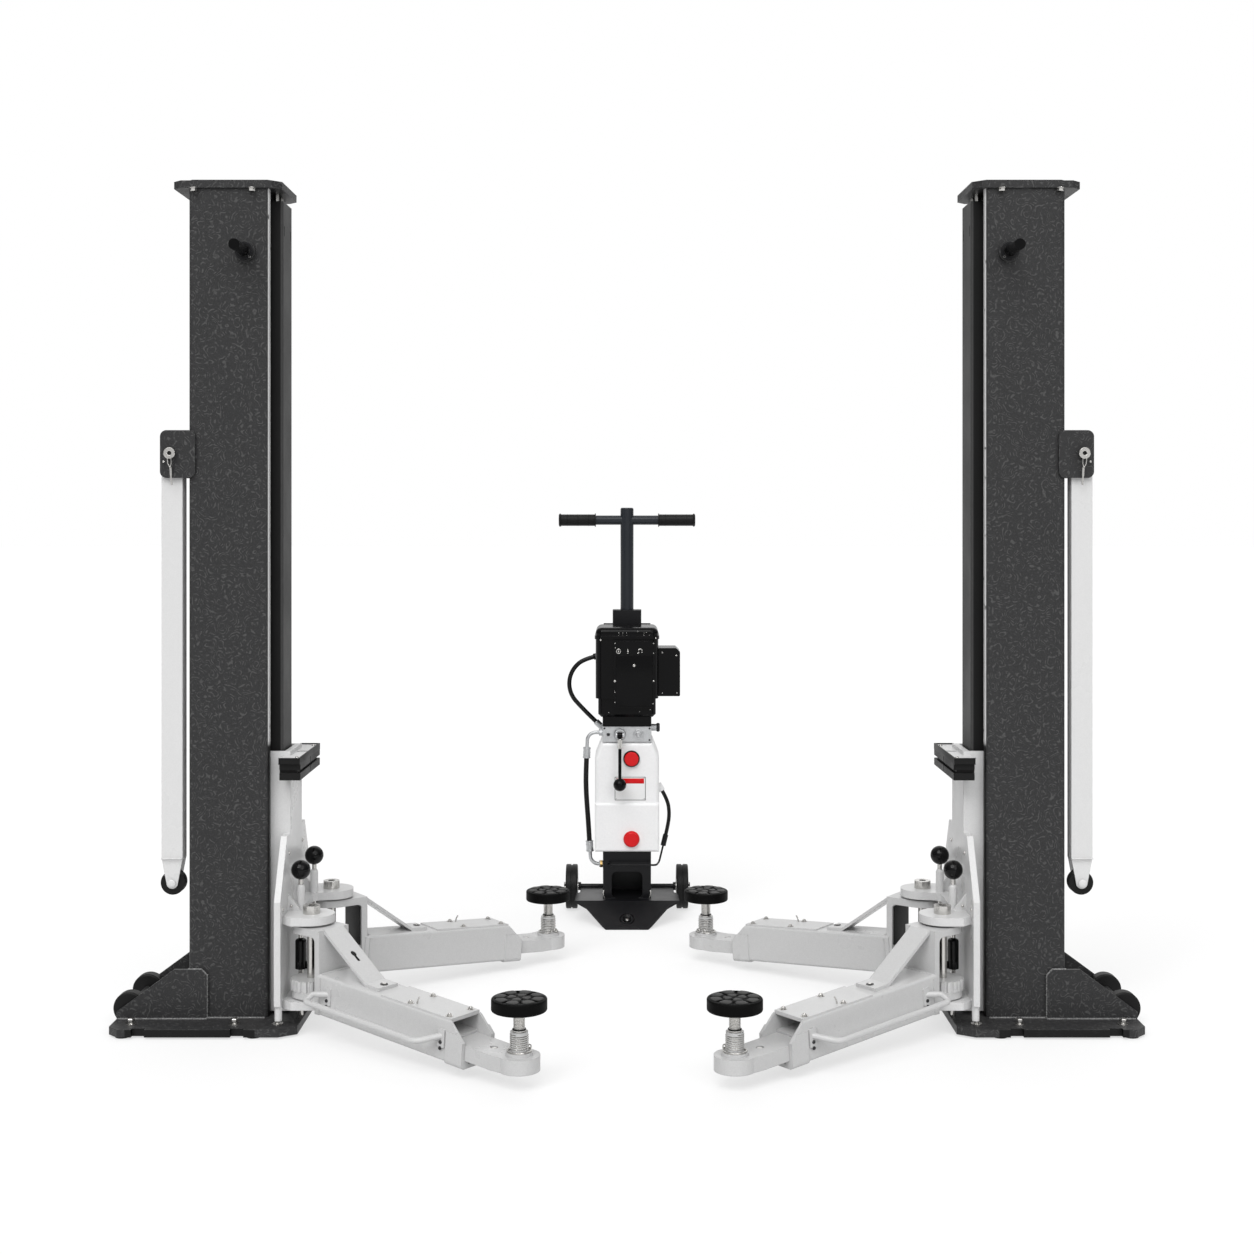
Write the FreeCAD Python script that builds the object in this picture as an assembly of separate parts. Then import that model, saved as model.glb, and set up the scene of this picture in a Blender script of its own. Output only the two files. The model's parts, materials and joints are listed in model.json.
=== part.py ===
import FreeCAD, Part
import math
import os

# Portable two post car lift with its power unit on a trolley, in millimetres.
# Z is up. X runs from the left post to the right one, and the trolley stands behind them, at +Y.
# Everything is drawn about the line through both posts and moved to the middle of the set at the end.

V = FreeCAD.Vector
X_AXIS, Y_AXIS, Z_AXIS = V(1, 0, 0), V(0, 1, 0), V(0, 0, 1)

# Fits and clearances
running_fit = 0.08          # radial, a pin that turns or slides in its bore
drop_in_fit = 0.3           # per side, a piece set in or beside another
slide_fit = 0.3             # per side, a bar that slides in a tube

# Column, a folded channel that opens towards the car
post_half_span = 888.0      # from the middle of the set to the column's inner face
column_width = 198.0
column_depth = 220.0
column_wall = 6.0
column_lip = 24.0           # the inner edge folded back beside the opening
column_bend = 10.0
base_top = 24.0
column_top = 2078.0

# Base plate with its gussets, feet and rollers
base_outer_reach = 174.0    # the plate stands out beyond the column's outer face
base_inner_reach = 86.0     # and beyond its inner face
base_depth = 430.0
base_foot_height = 5.0
base_foot_radius = 18.0
base_foot_offsets = (34.0, 353.0)     # from the plate's outer edge
base_corner = 26.0          # outer corners, cut at 45 degrees
base_taper_run = 42.0       # inner corners, along the edge
base_taper_side = 188.0     # from the middle to where the cut starts
base_pocket_width = 32.0
base_pocket_depth = 12.0
base_pocket_from_outer = (76.0, 316.0)     # notches in the near and far edges
base_bolt_hole_radius = 9.0
base_bolt_setback = 52.0    # from the column's near and far faces to the anchor bolts
base_bolt_offsets = (48.0, 301.0, 406.0)   # from the plate's outer edge
gusset_thickness = 10.0
gusset_height = 120.0
gusset_overlap = 47.0       # how far a gusset reaches along the column's face
gusset_run = 176.0          # how far it reaches out from the column
gusset_flat = 34.0          # level stretch of its top edge beside the column
gusset_nose = 16.0
gusset_corner = 14.0
roller_radius = 40.0
roller_width = 34.0
roller_rim = 5.0
roller_lift = 3.0           # the rollers hang just off the floor
roller_setback = 24.0       # from the plate's outer edge to the axle
roller_axle_radius = 10.0
roller_gap = 8.0            # between a roller and the gusset beside it
roller_slot_margin = 7.0

# Cap plate
cap_thickness = 22.0
cap_outer_overhang = 40.0
cap_inner_overhang = 31.0
cap_side_overhang = 6.0
cap_corner = 22.0
cap_lid_thickness = 4.0
cap_lid_inset = 26.0

# Cover in the column's opening
cover_half_width = 58.0
cover_proud = 26.0          # how far its face stands out of the column
cover_depth = 44.0
cover_sheet = 3.0
cover_top_gap = 23.0
cover_stud_radius = 6.0
cover_stud_spacing = 60.0
cover_slot_height = 26.0
cover_slot_width = 8.0
cover_slot_drop = 60.0

# Hydraulic cylinder inside the column
cylinder_radius = 38.0
cylinder_height = 1150.0
cylinder_rod_radius = 20.0
cylinder_rod_show = 60.0

# Safety release on the near face
release_setback = 57.0      # from the column's inner face
release_drop = 158.0        # below the column's top
release_flange_radius = 26.0
release_flange_thickness = 12.0
release_stem_radius = 7.0
release_grip_radius = 13.5
release_grip_length = 105.0
release_grip_gap = 12.0

# Carriage
carriage_clearance = 6.0    # from the cover's face to the carriage web
carriage_web = 16.0
carriage_flange = 10.0
carriage_flange_offset = 66.0
carriage_bottom = 30.0
carriage_top = 678.0
carriage_reach_in = 150.0   # how far the flanges reach into the column
slider_height = 120.0
slider_length = 68.0
carrier_top = 474.0
carrier_top_width = 237.0
carrier_width = 407.0
carrier_shoulder = 328.0
carrier_bottom = 75.0
hinge_plate_thickness = 20.0
upper_hinge_top = 290.0
lower_hinge_top = 86.0
hinge_lobe_radius = 57.0
hinge_root_depth = 30.0
hinge_notch_radius = 12.0
hinge_corner_cut = 24.0     # the lobes' outer corners beside the carrier
hinge_rib = 8.0
hinge_rib_height = 42.0
hinge_rib_reach = 34.0
hinge_rib_y = 112.0
carrier_peg_radius = 9.0
carrier_peg_height = 36.0
carrier_peg_inset = 14.0
guard_width = 280.0
guard_plate = 10.0
guard_plate_top = 668.0
guard_reach = 48.0
guard_block_height = 43.0
guard_block_depth = 36.0
guard_groove = 8.0
guard_split = 5.0           # gap between its two halves
guard_round = 4.0
guard_hole_radius = 14.0

# Arm pivots and locks
pivot_reach = 113.0         # from the column's inner face to the pivots
pivot_y = 145.0
arm_pin_radius = 11.0
arm_pin_collar_radius = 21.0
arm_pin_collar = 20.0
arm_pin_socket_radius = 9.0
arm_pin_socket = 9.0
arm_pin_washer = 8.0
front_rest_angle = 38.0
rear_rest_angle = 36.0
lock_reach = 77.0           # from the column's inner face to the lock rods
lock_y = 93.0
lock_rod_radius = 6.0
lock_ball_radius = 24.0
lock_ball_height = 386.0
lock_guide_radius = 10.0
lock_guide_height = 62.0
pawl_gap = 8.0              # it hangs this far over the gear while the carriage is down
pawl_height = 18.0
pawl_width = 24.0
pawl_fit = 1.0
pawl_sleeve_radius = 14.0
pawl_sleeve_height = 74.0
gear_teeth = 20
gear_tooth = 5.0
gear_radius = 52.0
gear_height = 26.0

# Arm, a box with a bent strap up to its upper lug and a brace down from it
arm_lug = 18.0
arm_lug_radius = 48.0
arm_upper_gap = 5.0
arm_lower_gap = 3.0
arm_strap_inner = 64.0      # from the pivot to the strap's upright
arm_strap_bend = 12.0       # inside radius of its bend
arm_box_start = 80.0
arm_box_length = 475.0
arm_box_width = 100.0
arm_box_bottom = 64.0       # at its inner end
arm_box_height = 98.0
arm_slope = 4.3             # degrees, down towards the pad
arm_box_wall = 6.0
arm_box_round = 7.0
arm_cheek_run = 44.0
arm_runner = 9.4            # strips in the box that the extension slides on
arm_runner_width = 14.0
arm_lid_start = 285.0       # a thin plate over the outer half of the box
arm_lid = 3.0
arm_brace_width = 62.0
arm_brace_thickness = 8.0
arm_brace_end = 268.0
arm_brace_foot = 44.0
keyhole_radius = 7.0
keyhole_slot = 4.0
keyhole_length = 20.0
keyhole_share = 0.48        # how far down the brace it is
arm_collar = 4.0
arm_collar_length = 52.0
arm_collar_height = 72.0    # up the side of the box
toe_guard_radius = 7.0
toe_guard_bend = 17.0
toe_guard_height = 46.0     # over the box's lower face
toe_guard_rise = 12.0       # its ends are welded this much higher
toe_guard_start = 110.0     # where its ends meet the box
toe_guard_end = 488.0
toe_guard_offset = 50.0     # from the box's side to its long run
toe_guard_lead = 36.0       # the outer end comes back to the box over this length
toe_tab_width = 22.0
toe_tab_height = 44.0
toe_tab = 4.0

# Extension, a bar that carries the pad
pad_reach = 680.0           # from the arm's pivot to the pad's screw
extension_travel = 250.0
extension_overlap = 75.0    # what stays in the arm at full reach
extension_height = 34.0
extension_eye_radius = 47.0
extension_stop_radius = 9.0
extension_stop_depth = 6.0
extension_stop_setback = 75.0
sleeve_radius = 20.0
sleeve_height = 52.0
sleeve_ring = 11.0
sleeve_ring_height = 7.0
sleeve_washer = 4.0
sleeve_washer_radius = 28.0
pad_screw_radius = 12.5
pad_clip = 3.0
pad_clip_radius = 15.5
pad_radius = 62.5
pad_thickness = 28.0
pad_round = 4.0
pad_top = 198.0
pad_flange_radius = 34.0
pad_flange = 5.0
pad_petals = 8
pad_groove_width = 5.0
pad_groove_depth = 3.0
pad_hub_radius = 14.0
pad_rim = 7.0

# Transport leg on its bracket
leg_reach = 42.0            # from the column's outer face to the leg's middle
leg_width = 52.0
leg_depth = 40.0
leg_wall = 3.0
leg_pivot_height = 1421.0
leg_axle_height = 355.0
leg_clearance = 4.0
leg_pin_radius = 8.0
leg_fork_height = 62.0
leg_fork_plate = 5.0
leg_wheel_radius = 30.0
leg_wheel_width = 26.0
bracket_width = 87.0
bracket_height = 118.0
bracket_plate = 8.0
bracket_corner = 16.0
bracket_overlap = 18.0
bracket_drop = 61.0

# Trolley with the power unit, drawn about its back panel
trolley_back = 1160.0       # from the post line to the panel
trolley_panel_width = 150.0
trolley_panel = 6.0
trolley_panel_top = 920.0
mast_radius = 21.0
mast_over_bar = 40.0        # the mast's top over the cross bar's middle
mast_cap = 5.0
mast_socket_width = 92.0
mast_socket_depth = 56.0
mast_socket_height = 60.0
mast_socket_top = 962.0
mast_socket_floor = 10.0
mast_socket_round = 8.0
handle_height = 1250.0
handle_width = 437.0
handle_radius = 15.0
grip_radius = 18.5
grip_length = 118.0
grip_flange = 3.0
motor_width = 195.0
motor_depth = 190.0
motor_bottom = 640.0
motor_top = 918.0
motor_corner = 24.0
motor_dome = 26.0
motor_dome_round = 18.0
motor_lip = 3.0
motor_lip_height = 10.0
motor_foot = 58.0           # the lower part of the housing is a little narrower
motor_foot_inset = 8.0
motor_foot_chamfer = 9.0
motor_cover_width = 126.0
motor_cover_height = 205.0
motor_cover_thickness = 10.0
motor_cover_x = 22.0
motor_cover_round = 8.0
motor_cover_lift = 6.0
motor_neck_width = 152.0
motor_neck_height = 30.0
box_width = 68.0
box_height = 150.0
box_depth = 110.0
box_bottom = 702.0
box_corner = 12.0
box_round = 4.0
box_lid = 8.0
box_lid_groove = 2.0
block_width = 152.0
block_depth = 140.0
block_setback = 30.0
block_knob_radius = 17.0
block_knob_length = 16.0
block_plug_radius = 15.0
block_plug_length = 6.0
block_plug_x = 36.0
block_small_plug_radius = 6.0
block_small_plug_x = -58.0
block_side_knob_radius = 11.0
block_side_knob_length = 26.0
block_height = 48.0
tank_width = 200.0
tank_depth = 178.0
tank_bottom = 222.0
tank_corner = 14.0
tank_step_round = 7.0
tank_step = 8.0             # the lower half stands a little proud of the upper one
tank_step_height = 372.0
tank_shoulder = 50.0
tank_shoulder_run = 20.0
tank_cap_x = 14.0
tank_cap_radius = 25.0
tank_cap_height = 14.0
tank_cap_ring = 3.0
tank_cap_upper = 510.0
tank_cap_lower = 262.0
lever_x = -22.0
lever_radius = 5.0
lever_length = 150.0
lever_lean = 20.0
lever_hub_radius = 9.0
lever_hub_width = 16.0
lever_ear = 4.0
lever_pin_radius = 3.0
lever_ball_radius = 20.0
foot_width = 325.0
foot_plate = 6.0
foot_height = 62.0
foot_front = -165.0
foot_front_width = 250.0
foot_corner = 24.0
foot_toe = -262.0
foot_toe_width = 130.0
foot_hole_radius = 14.0
foot_wheel_gap = 10.0
wheel_radius = 70.0
wheel_width = 37.0
wheel_round = 4.0
wheel_tread_groove = 3.0
wheel_tread_gap = 5.0
wheel_hub_radius = 24.0
wheel_hub_recess = 3.0
wheel_rim = 16.0
wheel_track = 355.0
wheel_back = 38.0
axle_radius = 8.0
axle_nut_radius = 13.0
axle_nut = 6.0
cradle_width = 150.0
cradle_plate = 6.0
cradle_front = -128.0
cradle_top_front = -146.0
cradle_window = 96.0
cradle_window_height = 84.0

# Hoses, the motor's conduit and their fittings
hose_y = -110.0
hose_radius = 8.0
conduit_y = -70.0
conduit_radius = 7.0
return_hose_radius = 6.0
ferrule_radius = 11.0
ferrule_length = 34.0
elbow_radius = 5.5
elbow_bend = 26.0
fitting_nut_radius = 10.0
fitting_nut = 12.0
gland_radius = 10.0
gland_length = 8.0
upper_elbow_z = 584.0
lower_elbow_z = 172.0
pipe_radius = 3.0
pipe_z = 178.0
pipe_front = 16.0           # from the cradle's front to the pipe's middle
pipe_end_x = -52.0
pipe_bends = (14.0, 12.0, 6.0)
route_share = 0.45          # of the shorter run beside a corner that its arc takes
pressure_hose_route = ((-127.0, 504.0), (-129.0, 455.0), (-128.5, 403.0), (-125.0, 350.0),
                       (-121.0, 297.0), (-118.0, 245.0))
conduit_route = ((-105.5, 818.0), (-137.4, 809.5), (-164.4, 788.1), (-180.7, 757.8), (-183.6, 723.5),
                 (-172.6, 690.9), (-148.5, 664.2), (-122.8, 637.6), (-98.3, 614.0))
return_hose_route = ((110.0, 402.0), (127.0, 372.0), (133.0, 336.0), (130.0, 299.0), (121.5, 263.5))

# Values worked out from those above
column_inner_x = -post_half_span
column_outer_x = column_inner_x - column_width
base_outer_x = column_outer_x - base_outer_reach
base_inner_x = column_inner_x + base_inner_reach
pivot_x = column_inner_x + pivot_reach
lock_x = column_inner_x + lock_reach
leg_x = column_outer_x - leg_reach
column_mid_x = column_outer_x + column_width / 2
column_half_depth = column_depth / 2
cap_top = column_top + cap_thickness
release_height = column_top - release_drop
mast_top = handle_height + mast_over_bar
cover_face_x = column_inner_x + cover_proud
web_back_x = cover_face_x + carriage_clearance
web_face_x = web_back_x + carriage_web
arm_upper_top = upper_hinge_top - hinge_plate_thickness - arm_upper_gap
arm_lower_bottom = lower_hinge_top + arm_lower_gap
gear_bottom = arm_lower_bottom + arm_lug
arm_box_end = arm_box_start + arm_box_length
arm_box_top = arm_box_bottom + arm_box_height
arm_fall = math.tan(math.radians(arm_slope))
extension_bottom = arm_box_bottom + arm_box_wall + arm_runner + slide_fit
extension_top = extension_bottom + extension_height
extension_width = arm_box_width - 2 * arm_box_wall - 2 * slide_fit
extension_start = arm_box_end - extension_travel - extension_overlap
eye_start = pad_reach - extension_eye_radius
eye_bottom = extension_bottom - (eye_start - arm_box_start) * arm_fall
eye_top = eye_bottom + extension_height
sleeve_top = eye_top + sleeve_height
block_bottom = motor_bottom - motor_neck_height - block_height
tank_top = block_bottom
panel_face_y = 0.0
mast_y = panel_face_y + trolley_panel + mast_socket_depth / 2
unit_back_y = panel_face_y - drop_in_fit

lever_pivot_y = unit_back_y - block_setback - block_depth - block_knob_length - drop_in_fit - lever_hub_radius
lever_pivot_z = block_bottom + block_height / 2

# Middle of the whole set, front to back, so that the origin lies under it
reach_angle = math.radians(front_rest_angle)
front_reach = pivot_y + pad_reach * math.sin(reach_angle) + pad_radius
back_reach = trolley_back + wheel_back + wheel_radius
set_middle_y = (back_reach - front_reach) / 2


def box(x0, x1, y0, y1, z0, z1):
    """A block between two corners."""
    return Part.makeBox(x1 - x0, y1 - y0, z1 - z0, V(x0, y0, z0))


def rod(radius, start, end):
    """A round bar between two points."""
    return Part.makeCylinder(radius, (end - start).Length, start, end - start)


def slab(points, axis, start, thickness):
    """A flat plate from an outline: points are (x, y) for Z, (x, z) for Y and (y, z) for X."""
    if axis == "Z":
        corners = [V(a, b, start) for a, b in points]
        along = V(0, 0, thickness)
    elif axis == "Y":
        corners = [V(a, start, b) for a, b in points]
        along = V(0, thickness, 0)
    else:
        corners = [V(start, a, b) for a, b in points]
        along = V(thickness, 0, 0)
    outline = Part.makePolygon(corners + corners[:1])
    return Part.Face(outline).extrude(along)


def join(first, *others):
    """One solid from pieces that are welded or cast together."""
    return first.multiFuse(list(others)).removeSplitter()


def upright_edges(shape, places, tolerance=0.5):
    """The vertical edges whose middle stands over one of the given (x, y) places."""
    found = []
    for edge in shape.Edges:
        middle = edge.CenterOfMass
        ends = [vertex.Point for vertex in edge.Vertexes]
        if len(ends) == 2 and abs(ends[0].z - ends[1].z) > 1 and abs(ends[0].x - ends[1].x) < 0.01:
            if any(abs(middle.x - x) < tolerance and abs(middle.y - y) < tolerance for x, y in places):
                found.append(edge)
    return found


def edges_along(shape, axis):
    """The straight edges that run along X, Y or Z."""
    found = []
    for edge in shape.Edges:
        size = edge.BoundBox
        lengths = {"X": size.XLength, "Y": size.YLength, "Z": size.ZLength}
        along = lengths.pop(axis)
        if along > 1 and max(lengths.values()) < 0.01:
            found.append(edge)
    return found


def rounded_box(x0, x1, y0, y1, z0, z1, radius, axis):
    """A block whose four edges along one axis are rounded."""
    block = box(x0, x1, y0, y1, z0, z1)
    return block.makeFillet(radius, edges_along(block, axis))


def rims(shape, radius):
    """The circular edges of one radius."""
    return [edge for edge in shape.Edges
            if hasattr(edge.Curve, "Radius") and abs(edge.Curve.Radius - radius) < 0.001]


def bent_path(points, bends):
    """Straight runs through the points, joined by an arc at each inner one."""
    edges = []
    start = points[0]
    for before, corner, after, bend in zip(points, points[1:], points[2:], bends):
        back = before - corner
        ahead = after - corner
        back.normalize()
        ahead.normalize()
        half_turn = (math.pi - back.getAngle(ahead)) / 2
        tangent = bend * math.tan(half_turn)
        towards = back + ahead
        towards.normalize()
        arc_middle = corner + towards * (math.hypot(tangent, bend) - bend)
        edges.append(Part.LineSegment(start, corner + back * tangent).toShape())
        edges.append(Part.Arc(corner + back * tangent, arc_middle, corner + ahead * tangent).toShape())
        start = corner + ahead * tangent
    edges.append(Part.LineSegment(start, points[-1]).toShape())
    return Part.Wire(edges)


def tube_along(points, bends, radius):
    """A round bar or hose along a bent path."""
    section = Part.Wire([Part.makeCircle(radius, points[0], points[1] - points[0])])
    return bent_path(points, bends).makePipeShell([section], True, True)


def chamfered_plate(x0, x1, half_depth, z0, thickness, corner):
    """A level plate with its four corners cut off."""
    points = [(x0 + corner, -half_depth), (x1 - corner, -half_depth),
              (x1, -half_depth + corner), (x1, half_depth - corner),
              (x1 - corner, half_depth), (x0 + corner, half_depth),
              (x0, half_depth - corner), (x0, -half_depth + corner)]
    return slab(points, "Z", z0, thickness)


def column():
    """The folded channel with its lips beside the opening, and the release's flange."""
    shell = box(column_outer_x, column_inner_x, -column_half_depth, column_half_depth, base_top, column_top)
    corners = [(x, side * column_half_depth) for x in (column_outer_x, column_inner_x) for side in (-1, 1)]
    shell = shell.makeFillet(column_bend, upright_edges(shell, corners))
    inside = column_half_depth - column_wall
    hollow = box(column_outer_x + column_wall, column_inner_x - column_wall, -inside, inside,
                 base_top - 1, column_top + 1)
    opening = column_half_depth - column_lip
    mouth = box(column_inner_x - column_wall - 1, column_inner_x + 1, -opening, opening,
                base_top - 1, column_top + 1)
    release_x = column_inner_x - release_setback
    flange = rod(release_flange_radius, V(release_x, -column_half_depth, release_height),
                 V(release_x, -column_half_depth - release_flange_thickness, release_height))
    stem_hole = rod(release_stem_radius + running_fit, V(release_x, 0, release_height),
                    V(release_x, -column_depth, release_height))
    return shell.cut(hollow).cut(mouth).fuse(flange).cut(stem_hole).removeSplitter()


def base():
    """Base plate, side gussets, roller axle and feet, welded together."""
    half = base_depth / 2
    bottom = base_foot_height
    taper_x = base_inner_x - base_taper_run
    outline = [(base_outer_x + base_corner, -half), (taper_x, -half),
               (base_inner_x, -base_taper_side), (base_inner_x, base_taper_side),
               (taper_x, half), (base_outer_x + base_corner, half),
               (base_outer_x, half - base_corner), (base_outer_x, base_corner - half)]
    plate = slab(outline, "Z", bottom, base_top - bottom)
    slot_half = column_half_depth - roller_gap + roller_slot_margin - gusset_thickness / 2
    slot_end = base_outer_x + roller_setback + roller_radius + roller_slot_margin
    cuts = [box(base_outer_x - 1, slot_end, -slot_half, slot_half, 0, base_top + 1)]
    for side in (-1, 1):
        bolt_y = side * (column_half_depth + base_bolt_setback)
        for offset in base_bolt_offsets:
            x = base_outer_x + offset
            cuts.append(rod(base_bolt_hole_radius, V(x, bolt_y, 0), V(x, bolt_y, base_top + 1)))
        edge_y = side * half
        for offset in base_pocket_from_outer:
            x = base_outer_x + offset
            cuts.append(box(x - base_pocket_width / 2, x + base_pocket_width / 2,
                            edge_y - base_pocket_depth, edge_y + base_pocket_depth, 0, base_top + 1))
    plate = plate.cut(Part.makeCompound(cuts))
    axle_x = base_outer_x + roller_setback
    axle_z = roller_lift + roller_radius
    gusset_in = column_outer_x + gusset_overlap
    gusset_out = column_outer_x - gusset_run
    gusset_top = base_top + gusset_height
    gusset_outline = [(gusset_in, base_top), (gusset_in, gusset_top - gusset_corner),
                      (gusset_in - gusset_corner, gusset_top), (column_outer_x - gusset_flat, gusset_top),
                      (gusset_out, base_top + gusset_nose), (gusset_out, base_top)]
    reach = column_half_depth + gusset_thickness
    welded = [rod(roller_axle_radius, V(axle_x, -reach, axle_z), V(axle_x, reach, axle_z))]
    for side in (-1, 1):
        start = min(side * column_half_depth, side * reach)
        welded.append(slab(gusset_outline, "Y", start, gusset_thickness))
        for offset in base_foot_offsets:
            x = base_outer_x + offset
            y = side * (half - base_corner)
            welded.append(rod(base_foot_radius, V(x, y, 0), V(x, y, bottom)))
    return join(plate, *welded)


def base_rollers():
    """Two transport rollers on one axle, free to turn."""
    axle_x = base_outer_x + roller_setback
    axle_z = roller_lift + roller_radius
    pair = []
    for side in (-1, 1):
        outer = side * (column_half_depth - roller_gap)
        inner = outer - side * roller_width
        wheel = rod(roller_radius, V(axle_x, outer, axle_z), V(axle_x, inner, axle_z))
        wheel = wheel.makeFillet(roller_rim, rims(wheel, roller_radius))
        bore = rod(roller_axle_radius + running_fit, V(axle_x, outer + side, axle_z),
                   V(axle_x, inner - side, axle_z))
        pair.append(wheel.cut(bore))
    return Part.makeCompound(pair)


def cap_plate():
    """Plate over the column with a thin lid on it."""
    half = column_half_depth + cap_side_overhang
    outer = column_outer_x - cap_outer_overhang
    inner = column_inner_x + cap_inner_overhang
    plate = chamfered_plate(outer, inner, half, column_top, cap_thickness - cap_lid_thickness, cap_corner)
    lid = chamfered_plate(outer + cap_lid_inset, inner - cap_lid_inset / 2, half - cap_lid_inset / 2,
                          cap_top - cap_lid_thickness, cap_lid_thickness, cap_corner)
    return join(plate, lid)


def cover():
    """Shallow channel that closes the opening between the carriage's flanges."""
    top = column_top - cover_top_gap
    back = cover_face_x - cover_depth
    outer = box(back, cover_face_x, -cover_half_width, cover_half_width, base_top, top)
    edges = upright_edges(outer, [(cover_face_x, -cover_half_width), (cover_face_x, cover_half_width)])
    outer = outer.makeFillet(2 * cover_sheet, edges)
    inside = cover_half_width - cover_sheet
    outer = outer.cut(box(back - 1, cover_face_x - cover_sheet, -inside, inside, base_top - 1, top + 1))
    slots = []
    for side in (-1, 1):
        y = side * (cover_half_width - 4 * cover_slot_width / 2)
        slots.append(box(back, cover_face_x + 1, y - cover_slot_width / 2, y + cover_slot_width / 2,
                         top - cover_slot_drop - cover_slot_height, top - cover_slot_drop))
    outer = outer.cut(Part.makeCompound(slots))
    head = box(back, cover_face_x - cover_sheet, -inside, inside, top - 2 * cover_sheet, top)
    studs = []
    for side in (-1, 1):
        y = side * cover_stud_spacing / 2
        x = back + cover_depth / 2
        studs.append(rod(cover_stud_radius, V(x, y, top - cover_sheet), V(x, y, column_top)))
    return join(outer, head, *studs)


def cylinder():
    """Hydraulic cylinder that stands on the base inside the column."""
    x = column_mid_x - cover_depth / 2
    body = rod(cylinder_radius, V(x, 0, base_top), V(x, 0, base_top + cylinder_height))
    piston = rod(cylinder_rod_radius, V(x, 0, base_top + cylinder_height),
                 V(x, 0, base_top + cylinder_height + cylinder_rod_show))
    return join(body, piston)


def leg_bracket():
    """Two plates outside the column with the leg's hinge pin between them."""
    near_face = -column_half_depth
    right = column_outer_x + bracket_overlap
    left = right - bracket_width
    bottom = leg_pivot_height - bracket_drop
    near = box(left, right, near_face - bracket_plate, near_face, bottom, bottom + bracket_height)
    edges = [edge for edge in near.Edges if abs(edge.Vertexes[0].Y - edge.Vertexes[1].Y) > 1]
    near = near.makeFillet(bracket_corner, edges)
    far_y = near_face + 2 * leg_clearance + leg_depth
    far = box(left + bracket_corner, column_outer_x, far_y, far_y + bracket_plate,
              bottom, bottom + bracket_height)
    pin = rod(leg_pin_radius, V(leg_x, near_face - 2 * bracket_plate, leg_pivot_height),
              V(leg_x, far_y + bracket_plate, leg_pivot_height))
    head = rod(1.6 * leg_pin_radius, V(leg_x, near_face - 2 * bracket_plate, leg_pivot_height),
               V(leg_x, near_face - bracket_plate, leg_pivot_height))
    return join(near, far, pin, head)


def leg():
    """Square tube leg that hangs beside the column, with a fork for its wheel."""
    near = -column_half_depth + leg_clearance
    far = near + leg_depth
    half = leg_width / 2
    top = leg_pivot_height + half
    bottom = leg_axle_height + leg_fork_height
    tube = box(leg_x - half, leg_x + half, near, far, bottom, top)
    tube = tube.cut(box(leg_x - half + leg_wall, leg_x + half - leg_wall, near + leg_wall, far - leg_wall,
                        bottom - 1, top + 1))
    fork_half = half - 4 * leg_wall
    floor = box(leg_x - half, leg_x + half, near, far, bottom - leg_wall, bottom)
    pieces = [floor]
    for start in (near, far - leg_fork_plate):
        arm = slab([(leg_x - half, bottom), (leg_x + half, bottom),
                    (leg_x + fork_half, leg_axle_height), (leg_x - fork_half, leg_axle_height)],
                   "Y", start, leg_fork_plate)
        nose_start = V(leg_x, start, leg_axle_height)
        nose = rod(fork_half, nose_start, nose_start + V(0, leg_fork_plate, 0))
        pieces += [arm, nose]
    axle = rod(leg_pin_radius - 2, V(leg_x, near, leg_axle_height), V(leg_x, far, leg_axle_height))
    pieces.append(axle)
    bore = rod(leg_pin_radius + running_fit, V(leg_x, near - 1, leg_pivot_height),
               V(leg_x, far + 1, leg_pivot_height))
    return join(tube, *pieces).cut(bore)


def leg_wheel():
    """Roller in the leg's fork."""
    middle = -column_half_depth + leg_clearance + leg_depth / 2
    start = V(leg_x, middle - leg_wheel_width / 2, leg_axle_height)
    end = V(leg_x, middle + leg_wheel_width / 2, leg_axle_height)
    tyre = rod(leg_wheel_radius, start, end)
    bore = rod(leg_pin_radius - 2 + running_fit, start - Y_AXIS, end + Y_AXIS)
    return tyre.cut(bore)


def safety_knob():
    """Pull knob of the safety catch."""
    x = column_inner_x - release_setback
    flange_face = -column_half_depth - release_flange_thickness
    grip_start = flange_face - release_grip_gap
    grip = rod(release_grip_radius, V(x, grip_start, release_height),
               V(x, grip_start - release_grip_length, release_height))
    stem = rod(release_stem_radius, V(x, -column_half_depth + column_wall, release_height),
               V(x, grip_start, release_height))
    return join(grip, stem)


def hinge_plate(top):
    """Level plate on the carrier with a round lobe about each arm's pivot and a notch between them."""
    bottom = top - hinge_plate_thickness
    outer = pivot_y + hinge_lobe_radius
    inner = pivot_y - hinge_lobe_radius
    root_x = web_face_x + hinge_root_depth
    seat_x = lock_x + lock_guide_radius + drop_in_fit
    seat_y = lock_y - lock_guide_radius - drop_in_fit
    half_outline = [(web_face_x, outer - hinge_corner_cut), (web_face_x + hinge_corner_cut, outer),
                    (pivot_x, outer), (pivot_x, inner), (seat_x, seat_y),
                    (root_x, seat_y - hinge_notch_radius)]
    other_half = [(x, -y) for x, y in reversed(half_outline)]
    plate = slab(half_outline + other_half, "Z", bottom, hinge_plate_thickness)
    lobes = [rod(hinge_lobe_radius, V(pivot_x, side * pivot_y, bottom), V(pivot_x, side * pivot_y, top))
             for side in (-1, 1)]
    plate = join(plate, *lobes)
    bores = [rod(arm_pin_radius + running_fit, V(pivot_x, side * pivot_y, bottom - 1),
                 V(pivot_x, side * pivot_y, top + 1)) for side in (-1, 1)]
    return plate.cut(Part.makeCompound(bores))


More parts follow.
